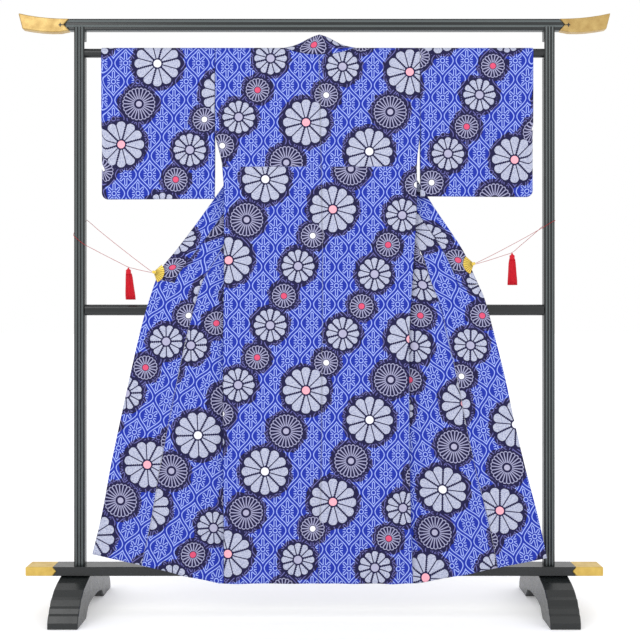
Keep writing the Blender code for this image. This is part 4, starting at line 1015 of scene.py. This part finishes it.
@dataclass
class Sleeve:
    """A sleeve: one length folded over the rod, closed below, open at both ends."""

    side: Side
    reach: float
    bottom: float
    columns: int = 84
    corner: float = 0.020
    cuff: float = 0.070
    cuff_opening: float = 0.230
    least_gap: float = 0.0013
    # height, half gap, inner centre, outer centre
    GAPS = np.array([[1.262, 0.0050, -0.0190, -0.0045], [1.300, 0.0080, -0.0180, -0.0040],
                     [1.380, 0.0095, -0.0160, -0.0035], [1.459, 0.0110, -0.0130, -0.0030],
                     [1.6965, 0.0155, 0.0000, 0.0000]])

    def build(self, material: Material) -> Object:
        """Sections from the body to the cuff: up the back, round the rod, and down."""
        inner = float(RobeDraft.level(self.side.word, np.array(ROD_Z))) + SEAM_GAP
        t = np.linspace(0.0, 1.0, self.columns)
        share = np.where(t < 0.75, t / 0.75 * 0.92, 0.92 + 0.08 * np.sin((t - 0.75) * 2 * math.pi))
        out = (inner + (self.reach - inner) * share)[None, :]
        corner = np.maximum(out - (self.reach - self.corner), 0.0)
        lift = self.corner - np.sqrt(np.maximum(self.corner ** 2 - corner ** 2, 0.0))
        bottom = self.bottom + lift
        cuff = ease((out - (self.reach - self.cuff)) / self.cuff)
        steps = (np.linspace(0.0, 1.0, 58) ** 1.25 * (ROD_Z - 0.002 - self.bottom))[:, None]
        height = np.minimum(bottom + steps, ROD_Z - 0.0005 * (1.2 - steps))
        read = [monotone(height, self.GAPS[:, 0], self.GAPS[:, k]) for k in (1, 2, 3)]
        centre = read[1] + (read[2] - read[1]) * ease(share)[None]
        seam_top = ROD_Z + DRAPE - self.cuff_opening
        shut = cuff * (1 - ease((height - seam_top + 0.05) / 0.06))
        gap = read[0] + (self.least_gap - read[0]) * shut
        gap = np.maximum(gap * (1 - np.exp(-steps / 0.035)), self.least_gap)
        gap = gap * ease(steps / 0.002 + 0.15)
        x = self.side.value * out
        fade = ease((ROD_Z - 0.02 - height) / 0.16) * ease(steps / 0.05)
        wave = 0.0016 * np.sin(x * 47.0 + height * 9.0) + 0.0010 * np.sin(x * 83.0 - height * 21.0)
        wave = wave * fade * (1 - cuff)
        angles = np.radians(np.linspace(176.0, 4.0, 19))[:, None]
        back, arc, front = (RobeDraft.place(self.side.value, out, depth, level)
                            for depth, level in ((centre - gap + wave, height),
                                                 (DRAPE * np.cos(angles),
                                                  ROD_Z + DRAPE * np.sin(angles)),
                                                 (centre + gap + wave, height)))
        grid = np.vstack([back, arc, front[::-1]])
        length = np.linalg.norm(np.diff(grid, axis=0), axis=-1)[:, :1]
        run = self.bottom + np.vstack([[[0.0]], np.cumsum(length, axis=0)])
        hem = np.minimum(run - self.bottom, run[-1:] - run)
        cuff_edge = np.maximum(self.reach - out, 0.0) + 0.0022
        edge = np.minimum(np.minimum(out - inner, hem), cuff_edge)
        piece = sheet_mesh(f"sleeve_{self.side.word}_cloth", [grid],
                           [np.stack(np.broadcast_arrays(x, run, edge), -1)], [material])
        declare(piece, f"sleeve_{self.side.word}")
        return piece


@dataclass
class CollarBand:
    """One folded band from clip to clip round the neck."""

    wall: float = 0.0020
    columns: int = 14
    # angle, edge out, edge depth, edge height round the back of the neck
    NECK = np.array([[0.0, 0.0640, 0.0220, 1.7240], [14.0, 0.0595, 0.0125, 1.7272],
                     [28.0, 0.0510, 0.0040, 1.7312], [42.0, 0.0400, -0.0030, 1.7355],
                     [57.0, 0.0275, -0.0085, 1.7405], [73.0, 0.0145, -0.0122, 1.7453],
                     [90.0, 0.0, -0.0150, 1.7490]])
    TURNS = np.array([[30.0, 0.0655, 0.0480, 1.7080], [60.0, 0.0650, 0.0350, 1.7175]])

    def half(self, side: Side) -> Tuple[Array, Array]:
        """Rows from the end at the clip to the centre back, with their run."""
        draft = RobeDraft
        runs = np.concatenate([np.linspace(COLLAR_END, 0.88, 8),
                               np.linspace(0.885, ROD_Z - HEM_Z, 130)])
        free = draft.width(side, runs)
        t = np.linspace(0.0, 1.0, self.columns)[None]
        distances = free[:, None] - BAND + BAND * t
        lower = draft.front_points(side, runs, distances)
        end = lower[-1]
        below = side.value * (end[0, 0] - ROBE_X)
        q = np.linspace(0.0, 2.0, 60)[1:]
        turn = np.radians(np.minimum(q, 1.0) * 90.0)
        angle = np.radians(np.maximum(q - 1.0, 0.0) * 90.0)
        out = np.where(q <= 1, below + (NECK_HALF - below) * q, NECK_HALF * np.cos(angle))
        neck_depth, neck_height = draft.over_rod(NECK_DROP * np.sin(angle))
        depth = np.where(q <= 1, DRAPE * np.cos(turn), neck_depth)
        height = np.where(q <= 1, ROD_Z + DRAPE * np.sin(turn), neck_height)
        seam = draft.place(side.value, out, depth, height)
        knots = np.concatenate([[0.0], self.TURNS[:, 0] / 90, 1 + self.NECK[:, 0] / 90])
        first = [[0.0, side.value * (end[-1, 0] - ROBE_X), end[-1, 1] - POST_Y, end[-1, 2]]]
        table = np.vstack([first, self.TURNS, self.NECK])
        edge = draft.place(side.value, *(monotone(q, knots, table[:, k]) for k in (1, 2, 3)))
        shares = np.linspace(0.0, 1.0, self.columns)[None, :, None]
        upper = seam[:, None] + (edge - seam)[:, None] * shares
        rows = np.vstack([lower, upper])
        return rows, run_along(rows[:, self.columns // 2])

    def build(self, material: Material) -> Object:
        """Both halves joined at the centre back; the run is measured from there."""
        left, left_run = self.half(Side.LEFT)
        right, right_run = self.half(Side.RIGHT)
        points = np.vstack([left, right[::-1][1:]])
        run = np.concatenate([left_run - left_run[-1], (right_run[-1] - right_run)[::-1][1:]])
        across = np.linspace(0.0, BAND, self.columns)[None]
        edge = np.minimum(across, BAND - across + 0.0015)
        place = np.stack(np.broadcast_arrays(across, run[:, None], edge), -1)
        piece = sheet_mesh("collar_band_cloth", [points], [place], [material], wall=self.wall)
        declare(piece, "collar_band")
        return piece


@dataclass
class HeldOpen:
    """The fan clip, its cord round the post, and the tassel of one side.

    The clip sits at out and height, on the band at run; rear, middle and front are
    the heights of the cord at three places round the post.
    """

    side: Side
    out: float
    height: float
    run: float
    rear: float
    middle: float
    front: float
    tassel_on_front: bool
    tassel_out: float
    tassel_height: float
    lean: float
    turn: float = 194.0
    radius: float = 0.033
    spread: float = 112.0
    ribs: int = 9
    diameter: float = 0.0014
    strands: int = 150
    clear: float = 0.0027
    eye_out: float = 0.0057
    eye_half: float = 0.0013
    hang_depth: float = 0.0215
    knot_half: float = 0.0027
    # radius and height of the knot and the bound head, from the tassel's top
    HEAD = np.array([[0.0004, 0.0010], [0.0020, 0.0006], [0.0026, -0.0015], [0.0034, -0.0035],
                     [0.0058, -0.0050], [0.0074, -0.0068], [0.0080, -0.0090], [0.0076, -0.0110],
                     [0.0070, -0.0122], [0.0078, -0.0130], [0.0080, -0.0145], [0.0076, -0.0154],
                     [0.0080, -0.0163], [0.0078, -0.0174], [0.0086, -0.0190], [0.0004, -0.0205]])
    # drop, spread of the skirt and thickness along a strand
    STRAND = np.array([[0.0165, 0.0076, 0.0010], [0.030, 0.0098, 0.0012], [0.048, 0.0114, 0.0013],
                       [0.066, 0.0124, 0.0014], [0.082, 0.0132, 0.0014],
                       [0.0955, 0.0138, 0.0011]])

    def frame(self) -> Tuple[Array, Array, Array, Array]:
        """Hub of the clip, with its outward, upward and rearward directions."""
        draft, side = RobeDraft, self.side
        run = np.array([self.run, self.run - 0.02, self.run + 0.03])
        free = draft.width(side, run[:1]) + np.array([0.020 - BAND, -0.010, 0.0])
        spots = draft.front_points(side, run, np.broadcast_to(free, (3, 3)))
        inner, edge, lower, upper = spots[0, 0], spots[0, 2], spots[1, 1], spots[2, 1]
        normal = unit(np.cross(edge - inner, upper - lower))
        normal = normal if normal[1] > 0 else -normal
        outward = np.array([side.value, 0.0, 0.0])
        outward = unit(outward - normal * (outward @ normal))
        upward = np.array([0.0, 0.0, 1.0])
        upward = unit(upward - normal * (upward @ normal) - outward * (upward @ outward))
        hub = np.array([ROBE_X + side.value * self.out, edge[1], self.height])
        return hub - normal * ((hub - edge) @ normal), outward, upward, normal

    def tassel_top(self) -> Array:
        """Where the tassel hangs on its strand of the cord."""
        return np.array([ROBE_X + self.side.value * self.tassel_out, POST_Y - self.hang_depth,
                         self.tassel_height])

    def wrap(self) -> Array:
        """Cord round three sides of the post, a rounded rectangle with a set height."""
        turn, half_x, half_y = 0.0074, 0.0105, 0.0110
        flat = []
        for across, along, start, sweep in ((-1, 1, 110, -20), (1, 1, 90, -90), (1, -1, 0, -90),
                                            (-1, -1, -90, -20)):
            angle = np.radians(start + sweep * np.arange(4) / 3)
            flat.append(np.stack([POST_X + across * half_x + turn * np.cos(angle),
                                  POST_Y + along * half_y + turn * np.sin(angle)], 1))
        flat = np.vstack(flat)
        run = run_along(flat)
        share = run / run[-1]
        height = (self.rear * (1 - share) * (1 - 2 * share)
                  + self.front * share * (2 * share - 1) + 4 * self.middle * share * (1 - share))
        return np.stack([self.side.value * flat[:, 0], flat[:, 1], height], 1)

    @staticmethod
    def stretch(start: Array, end: Array, count: int, sag: float) -> Array:
        """Inner points of a free stretch, a shallow parabola below the straight line."""
        share = np.linspace(0.0, 1.0, count + 2)[1:-1, None]
        return start + (end - start) * share + np.array([0, 0, -4 * sag]) * share * (1 - share)

    def route(self) -> Array:
        """Loop of cord: clip, round the post, past the tassel, back to the clip."""
        hub, outward, upward, _ = self.frame()
        root = hub + outward * self.eye_out
        first, last = root + upward * self.eye_half, root - upward * self.eye_half
        wrap = self.wrap() if self.tassel_on_front else self.wrap()[::-1]
        knot = self.tassel_top() + np.array([0.0, 0.0, self.knot_half])
        return np.vstack([first, self.stretch(first, wrap[0], 4, 0.0025), wrap,
                          self.stretch(wrap[-1], knot, 3, 0.0010), knot,
                          self.stretch(knot, last, 3, 0.0010), last])

    def cord(self, material: Material) -> Object:
        """One smooth curve through the route, with handles from centripetal tangents."""
        points = self.route()
        padded = np.vstack([2 * points[0] - points[1], points, 2 * points[-1] - points[-2]])
        gaps = np.sqrt(np.linalg.norm(np.diff(padded, axis=0), axis=1))
        before, after = gaps[:-1, None], gaps[1:, None]
        slope = ((padded[1:-1] - padded[:-2]) / before
                 - (padded[2:] - padded[:-2]) / (before + after)
                 + (padded[2:] - padded[1:-1]) / after)
        data = bpy.data.curves.new(f"cord_{self.side.word}_silk", "CURVE")
        data.dimensions = "3D"
        data.bevel_depth = self.diameter / 2
        data.bevel_resolution = 3
        data.use_fill_caps = True
        data.resolution_u = 8
        spline = data.splines.new("BEZIER")
        spline.bezier_points.add(len(points) - 1)
        for handle in ("handle_left_type", "handle_right_type"):
            spline.bezier_points.foreach_set(handle, [0] * len(points))
        spline.bezier_points.foreach_set("co", points.ravel())
        spline.bezier_points.foreach_set("handle_left", (points - slope * before / 3).ravel())
        spline.bezier_points.foreach_set("handle_right", (points + slope * after / 3).ravel())
        data.materials.append(material)
        piece = linked(data.name, data)
        tie(piece, f"cord_{self.side.word}")
        fine = self.sampled(points, slope, before, after)
        return piece

    @staticmethod
    def sampled(points: Array, slope: Array, before: Array, after: Array) -> Array:
        """Points of the cubic pieces, eight to each."""
        t = np.linspace(0.0, 1.0, 9)[:-1][None, :, None]
        a, b = points[:-1, None], (points + slope * after / 3)[:-1, None]
        c, d = (points - slope * before / 3)[1:, None], points[1:, None]
        body = a * (1 - t) ** 3 + 3 * b * t * (1 - t) ** 2 + 3 * c * t * t * (1 - t) + d * t ** 3
        return np.vstack([body.reshape(-1, 3), points[-1:]])

    def fan(self, material: Material) -> Object:
        """Pleated fan outside and plain jaw inside, both thin, joined at the hub.

        The fan's face rises and falls with the angle like a row of pleats, more
        towards the rim, and every rib ends in a point.
        """
        hub, outward, upward, normal = self.frame()
        count = self.ribs * 8
        angle = np.radians(self.turn + self.spread / 2 - self.spread * np.arange(count + 1) / count)
        phase = np.arange(count + 1) / 8.0
        crest = np.abs((phase % 1.0) - 0.5) * 2
        rows = np.linspace(0.12, 1.0, 14)[:, None]
        reach = self.radius * rows * (1 + 0.045 * (crest[None] ** 3) * (rows > 0.97)
                                      - 0.035 * (1 - crest[None]) * (rows > 0.97))
        rise = 0.0009 * rows * (crest[None] - 0.4)
        flat = self.radius * 0.8 * np.linspace(0.14, 1.0, 5)[:, None]
        face, jaw = (hub + outward * (out * np.cos(angle))[..., None]
                     + upward * (out * np.sin(angle))[..., None] + normal * level[..., None]
                     for out, level in ((reach, -(self.clear + rise)),
                                        (flat, np.full((1, 1), self.clear))))
        place = np.stack(np.broadcast_arrays(phase[None] + 0.5, rows, 0.0), -1)
        piece = sheet_mesh(f"fan_clip_{self.side.word}_gilt", [face, jaw],
                           [place, np.zeros(jaw.shape)], [material], wall=0.0009, smooth=False)
        tie(piece, f"fan_clip_{self.side.word}")
        return piece

    def hub(self, material: Material) -> Object:
        """Riveted hub: a turned pin through both leaves with a domed head."""
        hub, outward, upward, normal = self.frame()
        level = np.array([-0.0050, -0.0049, -0.0042, -0.0034, -0.0026, 0.0026, 0.0034, 0.0038])
        radius = np.array([0.0004, 0.0022, 0.0038, 0.0046, 0.0044, 0.0044, 0.0036, 0.0004])
        points, faces = turned(hub + normal * level[:, None], radius, 20, outward, upward)
        piece = solid_mesh(f"fan_hub_{self.side.word}", points, faces, material)
        tie(piece)
        return piece

    def tassel(self, material: Material) -> Object:
        """Knot, bound head and a full skirt of strands that swells and parts below."""
        top = self.tassel_top()
        head = np.zeros((len(self.HEAD), 3))
        head[:, 2] = self.HEAD[:, 1]
        points, faces = turned(top + head, self.HEAD[:, 0], 28)
        all_points, all_faces, start = [points], faces, len(points)
        drops, spread, thick = self.STRAND.T
        golden = math.pi * (3 - math.sqrt(5))
        for index in range(self.strands):
            share = math.sqrt((index + 0.5) / self.strands)
            angle = golden * index
            wave = 0.0005 * np.sin(drops * 90 + angle * 3)
            x = self.lean * drops / 0.096 + spread * share * math.cos(angle) + wave
            y = spread * share * math.sin(angle) * 0.8 + wave * 0.5
            points, faces = turned(top + np.stack([x, y, -drops], 1), thick, 4)
            all_points.append(points)
            all_faces += [[k + start for k in face] for face in faces]
            start += len(points)
        piece = solid_mesh(f"tassel_{self.side.word}_silk", np.vstack(all_points),
                           all_faces, material)
        tie(piece, f"tassel_{self.side.word}")
        return piece


@dataclass
class KimonoStand:
    """Lacquered posts, beam, rod, bar, board and feet with gilt caps."""

    frame: Dict[str, object]

    def finish(self, name: str, material: Material) -> None:
        """Give a carried-over node its material."""
        node = self.frame["nodes"][name]
        node.data.materials.clear()
        node.data.materials.append(material)

    def dress(self) -> None:
        """A finish for every node of the stand."""
        black = Lacquer().dress("lacquer_plain")
        post = Lacquer().dress("lacquer_reeded_post", (0, POST_X, 0.0092))
        beam = Lacquer().dress("lacquer_reeded_beam", (2, 1.7905, 0.0150))
        gilt = Gilt(colour=(214, 182, 92), deep=(178, 138, 56)).dress("gilt_plain")
        inlaid = Gilt(colour=(186, 158, 98), deep=(152, 118, 62)).dress(
            "gilt_inlaid", mark=(0.7690, 1.7790))
        for side in Side:
            self.finish(f"post_{side.word}", post)
            self.finish(f"foot_{side.word}", black)
            self.finish(f"beam_cap_{side.word}", inlaid)
            self.finish(f"board_cap_{side.word}", gilt)
        for name in ("hanging_rod", "middle_bar", "base_board", "top_beam"):
            self.finish(name, beam if name == "top_beam" else black)
            LOG.info("%s dressed", name)


@dataclass
class Studio:
    """Plain pale floor, soft light and the camera at the photograph's angle."""

    eye: Tuple[float, float, float] = (0.0170, -3.093, 0.886)
    lens: float = 56.4

    def camera(self) -> None:
        """A level camera that looks straight along +Y."""
        data = bpy.data.cameras.new("photo_camera")
        data.lens = self.lens
        data.sensor_width = 36.0
        camera = linked("photo_camera", data)
        camera.location = self.eye
        camera.rotation_euler = (math.radians(90.0), 0.0, 0.0)
        bpy.context.scene.camera = camera

    def floor(self) -> None:
        """A wide pale floor."""
        graph = Graph("studio_floor")
        graph.shade(Base_Color=(0.93, 0.93, 0.94, 1.0), Roughness=0.9,
                    Emission_Color=(1.0, 1.0, 1.0, 1.0), Emission_Strength=0.22)
        corners = np.array([[-30, -12], [30, -12], [30, 60], [-30, 60]])
        piece = solid_mesh("studio_floor", np.insert(corners.astype(float), 2, -0.0006, axis=1),
                           [[0, 1, 2, 3]], graph.material, smooth=False)

    def light(self) -> None:
        """Pale surroundings, one large soft lamp on each side of the camera."""
        world = bpy.data.worlds.new("studio")
        bpy.context.scene.world = world
        world.use_nodes = True
        sky = world.node_tree.nodes["Background"]
        sky.inputs["Color"].default_value = (1.0, 1.0, 1.0, 1.0)
        sky.inputs["Strength"].default_value = 1.0
        for name, spot, size, power in (("key", (-2.6, -4.2, 3.4), 2.4, 60.0),
                                        ("fill", (3.0, -4.0, 2.2), 3.0, 20.0)):
            data = bpy.data.lights.new(name, "AREA")
            data.shape = "SQUARE"
            data.size = size
            data.energy = power
            lamp = linked(name, data)
            lamp.location = spot
            aim = np.array([0.0, 0.0, 0.95]) - np.array(spot)
            yaw = math.atan2(aim[1], aim[0]) - math.pi / 2
            pitch = math.acos(-aim[2] / np.linalg.norm(aim))
            lamp.rotation_euler = (pitch, 0.0, yaw)
        bpy.context.scene.view_settings.view_transform = "Standard"


# The first motif of a chain lies at this place on the cloth of the back.
FIRST = (-0.0406, 1.5517)
# Offset and direction of each panel in the repeat, across and along the cloth.
FRONT_TURN = 2 * ROD_Z + DRAPE * math.pi
FRONT_SHIFT = {Side.LEFT: (0.060, 0.120 + FRONT_TURN), Side.RIGHT: (0.028, 0.432 + FRONT_TURN)}
FRONT_FLIP = (1.0, -1.0)
OKUMI_SHIFT = {Side.LEFT: (0.520, 0.012), Side.RIGHT: (0.188, 0.380)}
OKUMI_FLIP = (-1.0, 1.0)
SLEEVE_SHIFT = {Side.LEFT: (0.0540, -2.0572), Side.RIGHT: (-0.9038, -2.4017)}
COLLAR_SHIFT = (-0.4072, -0.7305)
# Each sleeve's reach from the robe's centre line, and the height of its lower edge.
SLEEVE_CUT = {Side.LEFT: (0.6600, 1.2515), Side.RIGHT: (0.6465, 1.2590)}


def main() -> None:
    """Build and dress every piece in order."""
    logging.basicConfig(level=logging.INFO, format="%(name)s: %(message)s")
    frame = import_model()
    studio = Studio()
    studio.camera()
    silk_cord = RedSilk(colour=(168, 40, 44)).dress("silk_cord", 420.0)
    silk = RedSilk().dress("silk_tassel", 60.0)
    gilt = Gilt(colour=(232, 204, 92), deep=(196, 156, 60)).dress("gilt_fan", 0.6, ribbed=True)
    holders = (HeldOpen(Side.LEFT, out=0.5005, height=1.0305, run=0.865, rear=1.1925,
                        middle=1.1535, front=1.1160, tassel_on_front=True, tassel_out=0.5765,
                        tassel_height=1.0430, lean=0.0070),
               HeldOpen(Side.RIGHT, out=0.4660, height=1.0560, run=0.897, rear=1.1730,
                        middle=1.1890, front=1.1700, tassel_on_front=False, tassel_out=0.5810,
                        tassel_height=1.0870, lean=0.0010))
    for holder in holders:
        holder.tassel(silk)
        holder.cord(silk_cord)
        holder.fan(gilt)
        holder.hub(gilt)
        LOG.info("clip, cord and tassel %s built", holder.side.word)
    cotton = PrintedCotton()
    for side in Side:
        back = cotton.dress(f"print_back_{side.word}", (-FIRST[0], -FIRST[1]))
        front = cotton.dress(f"print_front_{side.word}", FRONT_SHIFT[side], FRONT_FLIP)
        overlap = cotton.dress(f"print_okumi_{side.word}", OKUMI_SHIFT[side], OKUMI_FLIP)
        sleeve = cotton.dress(f"print_sleeve_{side.word}", SLEEVE_SHIFT[side])
        BodyPanel(side).build(back, front)
        OverlapPanel(side).build(overlap)
        Sleeve(side, *SLEEVE_CUT[side]).build(sleeve)
        LOG.info("cloth of the %s half built", side.word)
    CollarBand().build(cotton.dress("print_collar", COLLAR_SHIFT))
    LOG.info("collar built")
    KimonoStand(frame).dress()
    studio.floor()
    studio.light()
    bpy.context.view_layer.update()


if __name__ == "__main__":
    main()
